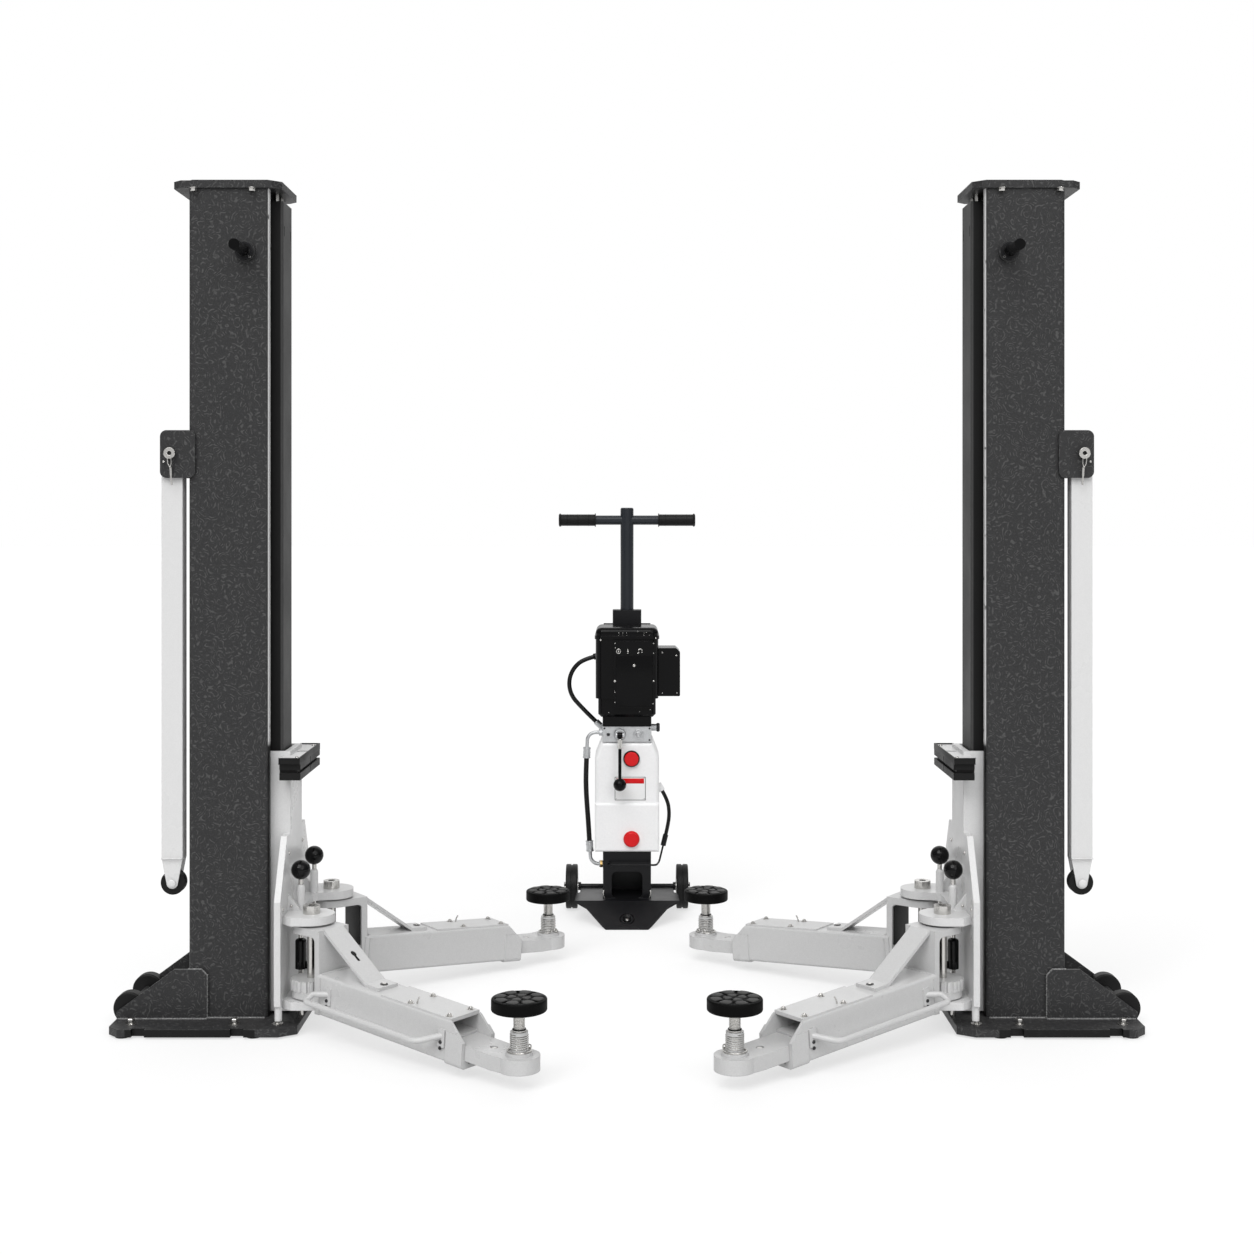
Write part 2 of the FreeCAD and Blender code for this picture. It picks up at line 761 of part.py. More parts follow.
def carriage():
    """Lifting carriage: web, flanges into the column, arm carrier and hinge plates."""
    flange_outer = carriage_flange_offset + carriage_flange
    web = box(web_back_x, web_face_x, -flange_outer, flange_outer, carriage_bottom, carriage_top)
    carrier = slab([(-carrier_width / 2, carrier_bottom), (carrier_width / 2, carrier_bottom),
                    (carrier_width / 2, carrier_shoulder), (carrier_top_width / 2, carrier_top),
                    (-carrier_top_width / 2, carrier_top), (-carrier_width / 2, carrier_shoulder)],
                   "X", web_back_x, carriage_web)
    pieces = [carrier]
    back = column_inner_x - carriage_reach_in
    guide_top = upper_hinge_top + lock_guide_height
    rib_outline = [(web_face_x, upper_hinge_top), (web_face_x + hinge_rib_reach, upper_hinge_top),
                   (web_face_x, upper_hinge_top + hinge_rib_height)]
    for side in (-1, 1):
        inner = side * carriage_flange_offset
        outer = side * flange_outer
        pieces.append(box(back, web_face_x, min(inner, outer), max(inner, outer),
                          carriage_bottom, carriage_top))
        wall = side * (column_half_depth - column_wall - slide_fit)
        for low in (carriage_bottom, carriage_top - slider_height):
            pieces.append(box(back, back + slider_length, min(outer, wall), max(outer, wall),
                              low, low + slider_height))
        guide = V(lock_x, side * lock_y, guide_top - lock_guide_radius)
        pieces.append(rod(lock_guide_radius, V(lock_x, side * lock_y, upper_hinge_top), guide))
        pieces.append(Part.makeSphere(lock_guide_radius, guide))
        rib_y = side * hinge_rib_y - hinge_rib / 2
        pieces.append(slab(rib_outline, "Y", rib_y, hinge_rib))
        peg_y = side * (carrier_width / 2 - carrier_peg_inset)
        peg_x = web_back_x + carriage_web / 2
        pieces.append(rod(carrier_peg_radius, V(peg_x, peg_y, carrier_bottom - carrier_peg_height),
                          V(peg_x, peg_y, carrier_bottom)))
    pieces += [hinge_plate(upper_hinge_top), hinge_plate(lower_hinge_top)]
    guard_half = guard_width / 2
    guard = box(web_back_x, web_back_x + guard_reach, -guard_half, guard_half,
                guard_plate_top - guard_plate, guard_plate_top)
    hole_x = (web_face_x + web_back_x + guard_reach) / 2
    hole = rod(guard_hole_radius, V(hole_x, 0, guard_plate_top - guard_plate - 1),
               V(hole_x, 0, guard_plate_top + 1))
    pieces.append(guard.cut(hole))
    bores = [rod(lock_rod_radius + running_fit, V(lock_x, side * lock_y, carriage_bottom),
                 V(lock_x, side * lock_y, guide_top + 1)) for side in (-1, 1)]
    return join(web, *pieces).cut(Part.makeCompound(bores))


def door_guard():
    """Rubber buffer under the guard plate: two halves beside each other, each grooved into two tiers."""
    half = guard_width / 2
    top = guard_plate_top - guard_plate
    bottom = top - guard_block_height
    front = web_face_x + guard_block_depth
    middle = (top + bottom) / 2
    block = rounded_box(web_back_x, front, -half, half, bottom, top, guard_round, "Z")
    web_half = carriage_flange_offset + carriage_flange + drop_in_fit
    web_seat = box(web_back_x - 1, web_face_x, -web_half, web_half, bottom - 1, top + 1)
    band = box(web_back_x - 1, front + 1, -half - 1, half + 1,
               middle - guard_groove / 2, middle + guard_groove / 2)
    core = box(web_back_x - 1, front - guard_groove, guard_groove - half, half - guard_groove,
               middle - guard_groove, middle + guard_groove)
    split = box(web_back_x - 1, front + 1, -guard_split / 2, guard_split / 2, bottom - 1, top + 1)
    return block.cut(web_seat).cut(band.cut(core)).cut(split)


def arm_pins():
    """The two arm pins, each with a hollow collar on the upper plate and a washer below."""
    pins = []
    top = upper_hinge_top + arm_pin_collar
    low = lower_hinge_top - hinge_plate_thickness - arm_pin_washer
    for side in (-1, 1):
        y = side * pivot_y
        pin = rod(arm_pin_radius, V(pivot_x, y, low), V(pivot_x, y, top))
        collar = rod(arm_pin_collar_radius, V(pivot_x, y, upper_hinge_top), V(pivot_x, y, top))
        washer = rod(arm_pin_collar_radius, V(pivot_x, y, low), V(pivot_x, y, low + arm_pin_washer))
        socket = rod(arm_pin_socket_radius, V(pivot_x, y, top - arm_pin_socket), V(pivot_x, y, top + 1))
        pins.append(join(pin, collar, washer).cut(socket))
    return Part.makeCompound(pins)


def gear_outline(clearance):
    """Corner points of the toothed ring about the arm's pivot, grown by a clearance."""
    root = gear_radius - gear_tooth + clearance
    tip = gear_radius + clearance
    points = []
    for step in range(gear_teeth):
        for share, radius in ((0.0, root), (0.3, root), (0.42, tip), (0.88, tip)):
            angle = 2 * math.pi * (step + share) / gear_teeth
            points.append((radius * math.cos(angle), radius * math.sin(angle)))
    return points


def sloped(shape):
    """Lean a piece that was drawn level in the arm's box down towards the pad."""
    leaning = shape.copy()
    leaning.rotate(V(arm_box_start, 0, arm_box_bottom), Y_AXIS, arm_slope)
    return leaning


def arm_shell():
    """The arm's box with its collar, lid, runners and toe guard, drawn level."""
    half = arm_box_width / 2
    inside = half - arm_box_wall
    channel_top = extension_top + slide_fit
    mouth_low = channel_top + arm_box_wall
    cheek_x = arm_box_end - arm_cheek_run
    inner_x = arm_strap_inner + arm_box_wall / 2
    side_view = [(inner_x, arm_box_bottom), (arm_box_end, arm_box_bottom), (arm_box_end, mouth_low),
                 (cheek_x, arm_box_top), (inner_x, arm_box_top)]
    shell = slab(side_view, "Y", -half, arm_box_width)
    shell = shell.makeFillet(arm_box_round, edges_along(shell, "X"))
    collar_x = arm_box_end - arm_collar_length
    collar_low = arm_box_bottom - arm_collar
    collar_top = arm_box_bottom + arm_collar_height
    slant_x = arm_box_end - arm_cheek_run * (collar_top - mouth_low) / (arm_box_top - mouth_low)
    collar_view = [(collar_x, collar_low), (arm_box_end, collar_low), (arm_box_end, mouth_low),
                   (slant_x, collar_top), (collar_x, collar_top)]
    collar = slab(collar_view, "Y", -half - arm_collar, 2 * (half + arm_collar))
    under = [edge for edge in edges_along(collar, "X") if edge.BoundBox.ZMax < collar_low + 1]
    collar = collar.makeFillet(arm_box_round + arm_collar, under)
    hollow_x = arm_box_start + arm_box_wall
    channel = box(hollow_x, arm_box_end + 1, -inside, inside, arm_box_bottom + arm_box_wall, channel_top)
    attic = box(hollow_x, arm_box_end + 1, -inside, inside, mouth_low, arm_box_top - arm_box_wall)
    mouth = box(cheek_x, arm_box_end + 1, -inside, inside, mouth_low - arm_box_wall - 1, arm_box_top + 1)
    body = join(shell, collar).cut(channel).cut(attic).cut(mouth)
    additions = [box(arm_lid_start, cheek_x, -half + arm_lid, half - arm_lid,
                     arm_box_top - 1, arm_box_top + arm_lid)]
    for side in (-1, 1):
        edge = side * inside
        inner = edge - side * arm_runner_width
        additions.append(box(hollow_x, arm_box_end, min(edge, inner), max(edge, inner),
                             arm_box_bottom + arm_box_wall - 1, extension_bottom - slide_fit))
    run_z = arm_box_bottom + toe_guard_height
    end_z = run_z + toe_guard_rise
    run_y = -half - toe_guard_offset
    hook_x = arm_box_start + toe_guard_radius / 2
    points = [V(toe_guard_start, -half + 1, end_z), V(hook_x, -half - toe_guard_offset / 2, end_z),
              V(hook_x, run_y, run_z), V(toe_guard_end - toe_guard_lead, run_y, run_z),
              V(toe_guard_end, -half + 1, end_z)]
    additions.append(tube_along(points, [toe_guard_bend * 0.6, toe_guard_bend * 0.6, 2 * toe_guard_bend],
                                toe_guard_radius))
    for x in (toe_guard_start, toe_guard_end):
        additions.append(rounded_box(x - toe_tab_width / 2, x + toe_tab_width / 2, -half - toe_tab, -half + 1,
                                     end_z - toe_tab_height * 0.6, end_z + toe_tab_height * 0.4,
                                     toe_tab, "Y"))
    return join(body, *additions)


def arm(keyhole):
    """Swing arm along +X from its pivot at the origin, with or without the slot in its brace."""
    upper_bottom = arm_upper_top - arm_lug
    upper = rod(arm_lug_radius, V(0, 0, upper_bottom), V(0, 0, arm_upper_top))
    lower = rod(arm_lug_radius, V(0, 0, arm_lower_bottom), V(0, 0, gear_bottom))
    gear = slab(gear_outline(0), "Z", gear_bottom, gear_height)
    strap_view = [(0, upper_bottom), (arm_strap_inner, upper_bottom), (arm_strap_inner, arm_box_bottom),
                  (arm_box_start, arm_box_bottom), (arm_box_start, arm_upper_top), (0, arm_upper_top)]
    strap = slab(strap_view, "Y", -arm_lug_radius, 2 * arm_lug_radius)
    inner_bend = [edge for edge in edges_along(strap, "Y")
                  if abs(edge.CenterOfMass.x - arm_strap_inner) < 0.01
                  and abs(edge.CenterOfMass.z - upper_bottom) < 0.01]
    strap = strap.makeFillet(arm_strap_bend, inner_bend)
    bridge = box(0, arm_box_start, -arm_lug_radius, arm_lug_radius, arm_lower_bottom, gear_bottom)
    foot_x = arm_brace_end - arm_brace_foot
    foot_z = arm_box_top - (foot_x - arm_box_start) * arm_fall
    end_z = arm_box_top - (arm_brace_end - arm_box_start) * arm_fall
    rise = arm_upper_top - foot_z - arm_brace_thickness
    run = foot_x - arm_box_start
    upright = arm_brace_thickness * math.hypot(rise, run) / run
    brace_view = [(arm_box_start - arm_brace_thickness, arm_upper_top), (arm_box_start, arm_upper_top),
                  (foot_x, foot_z + arm_brace_thickness), (arm_brace_end, end_z + arm_brace_thickness),
                  (arm_brace_end, end_z - 1), (foot_x, foot_z - 1),
                  (arm_box_start, arm_upper_top - upright),
                  (arm_box_start - arm_brace_thickness, arm_upper_top - upright)]
    brace = slab(brace_view, "Y", -arm_brace_width / 2, arm_brace_width)
    if keyhole:
        x = arm_box_start + keyhole_share * run
        low = arm_upper_top - rise
        hole = rod(keyhole_radius, V(x, 0, low), V(x, 0, arm_upper_top))
        slot = box(x, x + keyhole_length, -keyhole_slot, keyhole_slot, low, arm_upper_top)
        brace = brace.cut(hole).cut(slot)
    whole = join(sloped(arm_shell()), upper, lower, gear, strap, bridge, brace)
    bore = rod(arm_pin_radius + running_fit, V(0, 0, 0), V(0, 0, upper_hinge_top))
    return whole.cut(bore)


def extension():
    """Sliding bar with a level eye at its end and the pad's threaded sleeve in the eye."""
    half = extension_width / 2
    bar = sloped(box(extension_start, eye_start + drop_in_fit, -half, half, extension_bottom, extension_top))
    head = box(eye_start, pad_reach, -half, half, eye_bottom, eye_top)
    low = V(pad_reach, 0, eye_bottom)
    high = V(pad_reach, 0, eye_top)
    eye = rod(extension_eye_radius, low, high)
    sleeve = rod(sleeve_radius, high, V(pad_reach, 0, sleeve_top))
    ring = rod(sleeve_radius + sleeve_ring, high, high + V(0, 0, sleeve_ring_height))
    washer = rod(sleeve_washer_radius, low - V(0, 0, sleeve_washer), low)
    stop_x = pad_reach - extension_stop_setback
    stop_z = extension_top - (stop_x - arm_box_start) * arm_fall
    stop = rod(extension_stop_radius, V(stop_x, 0, stop_z - extension_stop_depth), V(stop_x, 0, stop_z + 1))
    bore = rod(pad_screw_radius + running_fit, V(pad_reach, 0, 0), V(pad_reach, 0, sleeve_top + 1))
    return join(bar, head, eye, sleeve, ring, washer).cut(stop).cut(bore)


def pad_screw():
    """Screw under the pad with its clip over the sleeve and a flange that carries the rubber."""
    seat = pad_top - pad_thickness
    screw = rod(pad_screw_radius, V(pad_reach, 0, eye_bottom - sleeve_washer), V(pad_reach, 0, seat))
    clip_z = sleeve_top + drop_in_fit
    clip = rod(pad_clip_radius, V(pad_reach, 0, clip_z), V(pad_reach, 0, clip_z + pad_clip))
    flange = rod(pad_flange_radius, V(pad_reach, 0, seat - pad_flange), V(pad_reach, 0, seat))
    return join(screw, clip, flange)


def pad_rubber():
    """Rubber pad with a hub, a rim and petals divided by grooves."""
    seat = pad_top - pad_thickness
    disc = rod(pad_radius, V(pad_reach, 0, seat), V(pad_reach, 0, pad_top))
    disc = disc.makeFillet(pad_round, rims(disc, pad_radius))
    floor = pad_top - pad_groove_depth
    grooves = []
    for step in range(pad_petals):
        groove = box(pad_hub_radius, pad_radius - pad_rim, -pad_groove_width / 2, pad_groove_width / 2,
                     floor, pad_top + 1)
        groove.rotate(V(0, 0, 0), Z_AXIS, 360.0 * step / pad_petals)
        groove.translate(V(pad_reach, 0, 0))
        grooves.append(groove)
    ring = rod(pad_hub_radius + pad_groove_width, V(pad_reach, 0, floor), V(pad_reach, 0, pad_top + 1))
    hub = rod(pad_hub_radius, V(pad_reach, 0, floor - 1), V(pad_reach, 0, pad_top + 2))
    return disc.cut(Part.makeCompound(grooves)).cut(ring.cut(hub))


def lock_pin(side):
    """Arm lock: ball knob, rod through its guide and a toothed pawl held just over the gear."""
    y = side * lock_y
    ball = Part.makeSphere(lock_ball_radius, V(lock_x, y, lock_ball_height))
    foot = rod(lock_rod_radius, V(lock_x, y, base_top + drop_in_fit), V(lock_x, y, lock_ball_height))
    low = gear_bottom + gear_height + pawl_gap
    sleeve = rod(pawl_sleeve_radius, V(lock_x, y, low), V(lock_x, y, low + pawl_sleeve_height))
    upper_rim = [edge for edge in rims(sleeve, pawl_sleeve_radius) if edge.BoundBox.ZMin > low + 1]
    sleeve = sleeve.makeFillet(pawl_sleeve_radius / 2, upper_rim)
    towards = V(pivot_x - lock_x, side * (pivot_y - lock_y), 0)
    angle = math.degrees(math.atan2(towards.y, towards.x))
    pawl = box(0, towards.Length - gear_radius + gear_tooth, -pawl_width / 2, pawl_width / 2,
               low, low + pawl_height)
    pawl.rotate(V(0, 0, 0), Z_AXIS, angle)
    pawl.translate(V(lock_x, y, 0))
    teeth = slab(gear_outline(pawl_fit), "Z", low - 1, pawl_height + 2)
    return join(foot, ball, sleeve, pawl.cut(place_arm(teeth, side)))


def place_arm(shape, side):
    """Swing a piece drawn along +X to its arm's rest angle on the left post."""
    placed = shape.copy()
    if side > 0:
        placed = placed.mirror(V(0, 0, 0), Y_AXIS)
        placed.rotate(V(0, 0, 0), Z_AXIS, rear_rest_angle)
    else:
        placed.rotate(V(0, 0, 0), Z_AXIS, -front_rest_angle)
    placed.translate(V(pivot_x, side * pivot_y, 0))
    return placed


def left_post(keyhole):
    """Every piece of the left post, by name."""
    pieces = {
        "base": base(), "base_rollers": base_rollers(), "column": column(), "cap_plate": cap_plate(),
        "cover": cover(), "cylinder": cylinder(), "leg_bracket": leg_bracket(), "leg": leg(),
        "leg_wheel": leg_wheel(), "safety_knob": safety_knob(), "carriage": carriage(),
        "door_guard": door_guard(), "arm_pins": arm_pins(),
    }
    for name, side in (("front", -1), ("rear", 1)):
        pieces[name + "_arm"] = place_arm(arm(keyhole and name == "front"), side)
        pieces[name + "_extension"] = place_arm(extension(), side)
        pieces[name + "_pad_screw"] = place_arm(pad_screw(), side)
        pieces[name + "_pad"] = place_arm(pad_rubber(), side)
        pieces[name + "_lock"] = lock_pin(side)
    return pieces


def mast_socket():
    """Rounded block on the back panel with a blind bore for the mast."""
    half = mast_socket_width / 2
    low = mast_socket_top - mast_socket_height
    block = rounded_box(-half, half, panel_face_y, panel_face_y + trolley_panel + mast_socket_depth,
                        low, mast_socket_top, mast_socket_round, "Z")
    bore = rod(mast_radius + drop_in_fit, V(0, mast_y, low + mast_socket_floor),
               V(0, mast_y, mast_socket_top + 1))
    return block.cut(bore)


def foot():
    """Foot plate, level between the wheels and bent down in front to a tongue."""
    half = foot_width / 2
    back_y = wheel_back + 3 * axle_radius
    neck_half = wheel_track / 2 - wheel_width / 2 - foot_wheel_gap
    neck_y = wheel_back - wheel_radius - foot_wheel_gap
    right_side = [(half, foot_front), (half, neck_y - foot_corner), (neck_half, neck_y), (neck_half, back_y)]
    left_side = [(-x, y) for x, y in reversed(right_side)]
    level = slab(right_side + left_side, "Z", foot_height, foot_plate)
    slope = slab([(foot_front, foot_height), (foot_front, foot_height + foot_plate),
                  (foot_toe, foot_plate), (foot_toe, 0)], "X", -half, foot_width)
    toe_half = foot_toe_width / 2
    front_half = foot_front_width / 2
    right_edge = [(half, foot_front), (front_half, foot_front - foot_corner),
                  (toe_half + foot_corner / 2, foot_toe + foot_corner / 2), (toe_half, foot_toe)]
    left_edge = [(-x, y) for x, y in reversed(right_edge)]
    slope = slope.common(slab(right_edge + left_edge, "Z", 0, foot_height + foot_plate))
    hole_y = (foot_front + 2 * foot_toe) / 3
    hole = rod(foot_hole_radius, V(0, hole_y, -1), V(0, hole_y, foot_height + foot_plate))
    return join(level, slope.cut(hole))


def cradle():
    """Shelf under the tank on two side walls and a leaning front with an opening."""
    half = cradle_width / 2
    back_y = panel_face_y + trolley_panel
    wall_view = [(cradle_front, foot_height), (back_y, foot_height), (back_y, tank_bottom - drop_in_fit),
                 (cradle_top_front, tank_bottom - drop_in_fit)]
    walls = [slab(wall_view, "X", start, cradle_plate) for start in (-half, half - cradle_plate)]
    shelf = box(-half, half, cradle_top_front, back_y,
                tank_bottom - cradle_plate, tank_bottom - drop_in_fit)
    front_view = [(cradle_front, foot_height), (cradle_front + cradle_plate, foot_height),
                  (cradle_top_front + cradle_plate, tank_bottom - cradle_plate),
                  (cradle_top_front, tank_bottom - cradle_plate)]
    front = slab(front_view, "X", -half, cradle_width)
    window_top = foot_height + foot_plate + cradle_window_height
    window = rounded_box(-cradle_window / 2, cradle_window / 2,
                         cradle_top_front - 1, cradle_front + 2 * cradle_plate,
                         foot_height + foot_plate, window_top, cradle_window / 6, "Y")
    return join(shelf, front.cut(window), *walls)


def wheel_axle():
    """Axle with a shoulder inside each wheel and a nut outside it."""
    outer = wheel_track / 2 + wheel_width / 2
    inner = wheel_track / 2 - wheel_width / 2
    reach = outer + drop_in_fit + axle_nut
    parts = [rod(axle_radius, V(-reach, wheel_back, wheel_radius), V(reach, wheel_back, wheel_radius))]
    for side in (-1, 1):
        parts.append(rod(axle_nut_radius, V(side * (outer + drop_in_fit), wheel_back, wheel_radius),
                         V(side * reach, wheel_back, wheel_radius)))
        parts.append(rod(axle_nut_radius, V(side * (inner - foot_wheel_gap - 1), wheel_back, wheel_radius),
                         V(side * (inner - drop_in_fit), wheel_back, wheel_radius)))
    return join(*parts)


def return_pipe():
    """Thin pipe from the return hose's ferrule down and across to the cradle's front."""
    x, z = return_hose_route[-1]
    lean = (return_hose_route[-1][0] - return_hose_route[-2][0]) / (return_hose_route[-2][1] - z)
    ferrule_end = V(x + lean * ferrule_length, hose_y, z - ferrule_length)
    pipe_y = cradle_top_front - pipe_front
    turn_x = cradle_width / 2 + pipe_front
    points = [ferrule_end, V(ferrule_end.x + lean * (ferrule_end.z - pipe_z), hose_y, pipe_z),
              V(turn_x, pipe_y, pipe_z), V(pipe_end_x, pipe_y, pipe_z),
              V(pipe_end_x - pipe_front / 2, cradle_front, pipe_z)]
    ferrule = rod(ferrule_radius * 0.75, V(x, hose_y, z), ferrule_end)
    return join(ferrule, tube_along(points, pipe_bends, pipe_radius))


def trolley_frame():
    """Back panel, mast socket, cradle, axle, bent foot plate and the return pipe on it."""
    half = trolley_panel_width / 2
    panel = box(-half, half, panel_face_y, panel_face_y + trolley_panel, foot_height, trolley_panel_top)
    return join(panel, mast_socket(), foot(), cradle(), wheel_axle(), return_pipe())


def handle():
    """Mast with its cap, and the cross bar."""
    foot_z = mast_socket_top - mast_socket_height + mast_socket_floor
    mast = rod(mast_radius, V(0, mast_y, foot_z), V(0, mast_y, mast_top))
    top_rim = [edge for edge in rims(mast, mast_radius) if edge.BoundBox.ZMin > foot_z + 1]
    mast = mast.makeFillet(mast_cap, top_rim)
    bar = rod(handle_radius, V(-handle_width / 2, mast_y, handle_height),
              V(handle_width / 2, mast_y, handle_height))
    return join(mast, bar)


def grips():
    """Rubber grips over the ends of the cross bar, each with a flange at its inner end."""
    pair = []
    for side in (-1, 1):
        outer = V(side * handle_width / 2, mast_y, handle_height)
        inner = V(side * (handle_width / 2 - grip_length), mast_y, handle_height)
        sleeve = rod(grip_radius, inner, outer)
        flange = rod(grip_radius + grip_flange, inner, inner + V(side * grip_flange, 0, 0))
        bore = rod(handle_radius, inner - V(side, 0, 0), outer + V(side, 0, 0))
        pair.append(join(sleeve, flange).cut(bore))
    return Part.makeCompound(pair)


def motor():
    """Motor housing with a lipped and domed lid, a front cover, a narrower foot, a neck and a gland."""
    half = motor_width / 2
    front = unit_back_y - motor_depth
    lid_z = motor_top - motor_dome
    foot_top = motor_bottom + motor_foot
    body = rounded_box(-half, half, front, unit_back_y, foot_top, lid_z, motor_corner, "Z")
    lower_half = half - motor_foot_inset
    lower = rounded_box(-lower_half, lower_half, front + motor_foot_inset, unit_back_y - motor_foot_inset,
                        motor_bottom, foot_top, motor_corner - motor_foot_inset, "Z")
    lower = lower.makeChamfer(motor_foot_chamfer, [edge for edge in lower.Edges
                                                   if edge.BoundBox.ZMax < motor_bottom + 0.1])
    lip = rounded_box(-half - motor_lip, half + motor_lip, front - motor_lip, unit_back_y,
                      lid_z - motor_lip_height, lid_z, motor_corner, "Z")
    dome = rounded_box(-half, half, front, unit_back_y, lid_z, motor_top, motor_corner, "Z")
    dome = dome.makeFillet(motor_dome_round, [edge for edge in dome.Edges
                                              if edge.BoundBox.ZMin > motor_top - 0.1])
    face_top = lid_z - motor_lip_height - motor_cover_lift
    face = rounded_box(motor_cover_x - motor_cover_width / 2, motor_cover_x + motor_cover_width / 2,
                       front - motor_cover_thickness, front + motor_cover_lift,
                       face_top - motor_cover_height, face_top, motor_cover_round, "Y")
    neck_half = motor_neck_width / 2
    neck = rounded_box(-neck_half, neck_half, front + motor_foot_inset + motor_foot_chamfer,
                       unit_back_y - block_setback, block_bottom + block_height, motor_bottom + 1,
                       motor_cover_round, "Z")
    start = V(conduit_route[0][0], conduit_y, conduit_route[0][1])
    gland = rod(gland_radius, V(-half + motor_lip, conduit_y, start.z + motor_lip), start)
    return join(body, lower, lip, dome, face, neck, gland)


def terminal_box():
    """Electrical box on the motor's right side, with a cut upper corner and a groove under its lid."""
    inner = motor_width / 2
    outer = inner + box_width
    top = box_bottom + box_height
    middle = unit_back_y - motor_depth / 2
    view = [(inner, box_bottom), (outer, box_bottom), (outer, top - box_corner),
            (outer - box_corner, top), (inner, top)]
    front = middle - box_depth / 2
    case = slab(view, "Y", front, box_depth)
    case = case.makeFillet(box_round, [edge for edge in edges_along(case, "Y")
                                       if edge.BoundBox.XMin > inner + 1])
    groove_y = front + box_lid
    band = slab(view, "Y", groove_y, box_lid_groove)
    core = box(inner - 1, outer - box_lid_groove, groove_y, groove_y + box_lid_groove,
               box_bottom + box_lid_groove, top - box_corner)
    return case.cut(band.cut(core))


def lever_fork(front, middle_z):
    """Round knob on the block's front with two ears and the pin that the lever turns on."""
    knob_end = front - block_knob_length
    pieces = [rod(block_knob_radius, V(lever_x, front, middle_z), V(lever_x, knob_end, middle_z))]
    inner = lever_hub_width / 2 + drop_in_fit
    for side in (-1, 1):
        near = lever_x + side * inner
        far = near + side * lever_ear
        pieces.append(box(min(near, far), max(near, far), lever_pivot_y, knob_end,
                          middle_z - lever_hub_radius, middle_z + lever_hub_radius))
        pieces.append(rod(lever_hub_radius, V(near, lever_pivot_y, middle_z),
                          V(far, lever_pivot_y, middle_z)))
    reach = inner + lever_ear
    pieces.append(rod(lever_pin_radius, V(lever_x - reach, lever_pivot_y, middle_z),
                      V(lever_x + reach, lever_pivot_y, middle_z)))
    return pieces


def along(route, y):
    """A hose's route as points in space, in the upright plane at y."""
    return [V(x, y, z) for x, z in route]


def upper_fittings():
    """Elbow from the block to the pressure hose's upper ferrule, and the conduit's lower gland."""
    half = block_width / 2
    hose = along(pressure_hose_route, hose_y)
    back = hose[0] - hose[1]
    back.normalize()
    ferrule_top = hose[0] + back * ferrule_length
    corner_x = ferrule_top.x + back.x / back.z * (upper_elbow_z - ferrule_top.z)
    face = V(-half, hose_y, upper_elbow_z)
    elbow = tube_along([face, V(corner_x, hose_y, upper_elbow_z), ferrule_top], [elbow_bend], elbow_radius)
    conduit = along(conduit_route, conduit_y)
    onward = conduit[-1] - conduit[-2]
    onward.normalize()
    gland_end = conduit[-1] + onward * ((-half - conduit[-1].x) / onward.x + gland_length)
    return [elbow, rod(fitting_nut_radius, face, face - V(fitting_nut, 0, 0)),
            rod(ferrule_radius, hose[0], ferrule_top), rod(gland_radius, conduit[-1], gland_end)]


def lower_fittings():
    """Elbow from the pressure hose's lower ferrule to the cradle's side."""
    hose = along(pressure_hose_route, hose_y)
    onward = hose[-1] - hose[-2]
    onward.normalize()
    ferrule_end = hose[-1] + onward * ferrule_length
    corner_x = ferrule_end.x + onward.x / onward.z * (lower_elbow_z - ferrule_end.z)
    wall = V(-cradle_width / 2, hose_y, lower_elbow_z)
    elbow = tube_along([ferrule_end, V(corner_x, hose_y, lower_elbow_z), wall], [elbow_bend], elbow_radius)
    return join(elbow, rod(ferrule_radius, hose[-1], ferrule_end),
                rod(fitting_nut_radius, wall, wall - V(fitting_nut, 0, 0)))


def valve_block():
    """Aluminium block between motor and tank with its fork, plugs and fittings, and the lower elbow."""
    half = block_width / 2
    back = unit_back_y - block_setback
    front = back - block_depth
    body = box(-half, half, front, back, block_bottom, block_bottom + block_height)
    middle_z = block_bottom + block_height / 2
    pieces = lever_fork(front, middle_z) + upper_fittings()
    for x, radius in ((block_plug_x, block_plug_radius), (block_small_plug_x, block_small_plug_radius)):
        pieces.append(rod(radius, V(x, front, middle_z), V(x, front - block_plug_length, middle_z)))
    side_z = block_bottom + block_height - block_side_knob_radius
    pieces.append(rod(block_side_knob_radius, V(half, (front + back) / 2, side_z),
                      V(half + block_side_knob_length, (front + back) / 2, side_z)))
    return Part.makeCompound([join(body, *pieces), lower_fittings()])


def tank():
    """White moulded tank with leaning shoulders, a lower half that stands proud and a hose stub."""
    half = tank_width / 2
    front = unit_back_y - tank_depth
    upper_view = [(-half, tank_step_height), (half, tank_step_height), (half, tank_top - tank_shoulder),
                  (half - tank_shoulder_run, tank_top), (tank_shoulder_run - half, tank_top),
                  (-half, tank_top - tank_shoulder)]
    upper = slab(upper_view, "Y", front + tank_step, tank_depth - tank_step)
    upper = upper.makeFillet(tank_corner, [edge for edge in upper.Edges
                                           if edge.BoundBox.YMax < front + tank_step + 1
                                           and edge.BoundBox.ZMax > tank_step_height + 1])
    lower = box(-half, half, front, unit_back_y, tank_bottom, tank_step_height)
    lower = lower.makeFillet(tank_step_round, [edge for edge in lower.Edges
                                               if edge.BoundBox.YMax < front + 1])
    hose = along(return_hose_route, hose_y)
    back = hose[0] - hose[1]
    back.normalize()
    stub = rod(gland_radius, hose[0], hose[0] + back * (3 * gland_length))
    return join(upper, lower, stub)


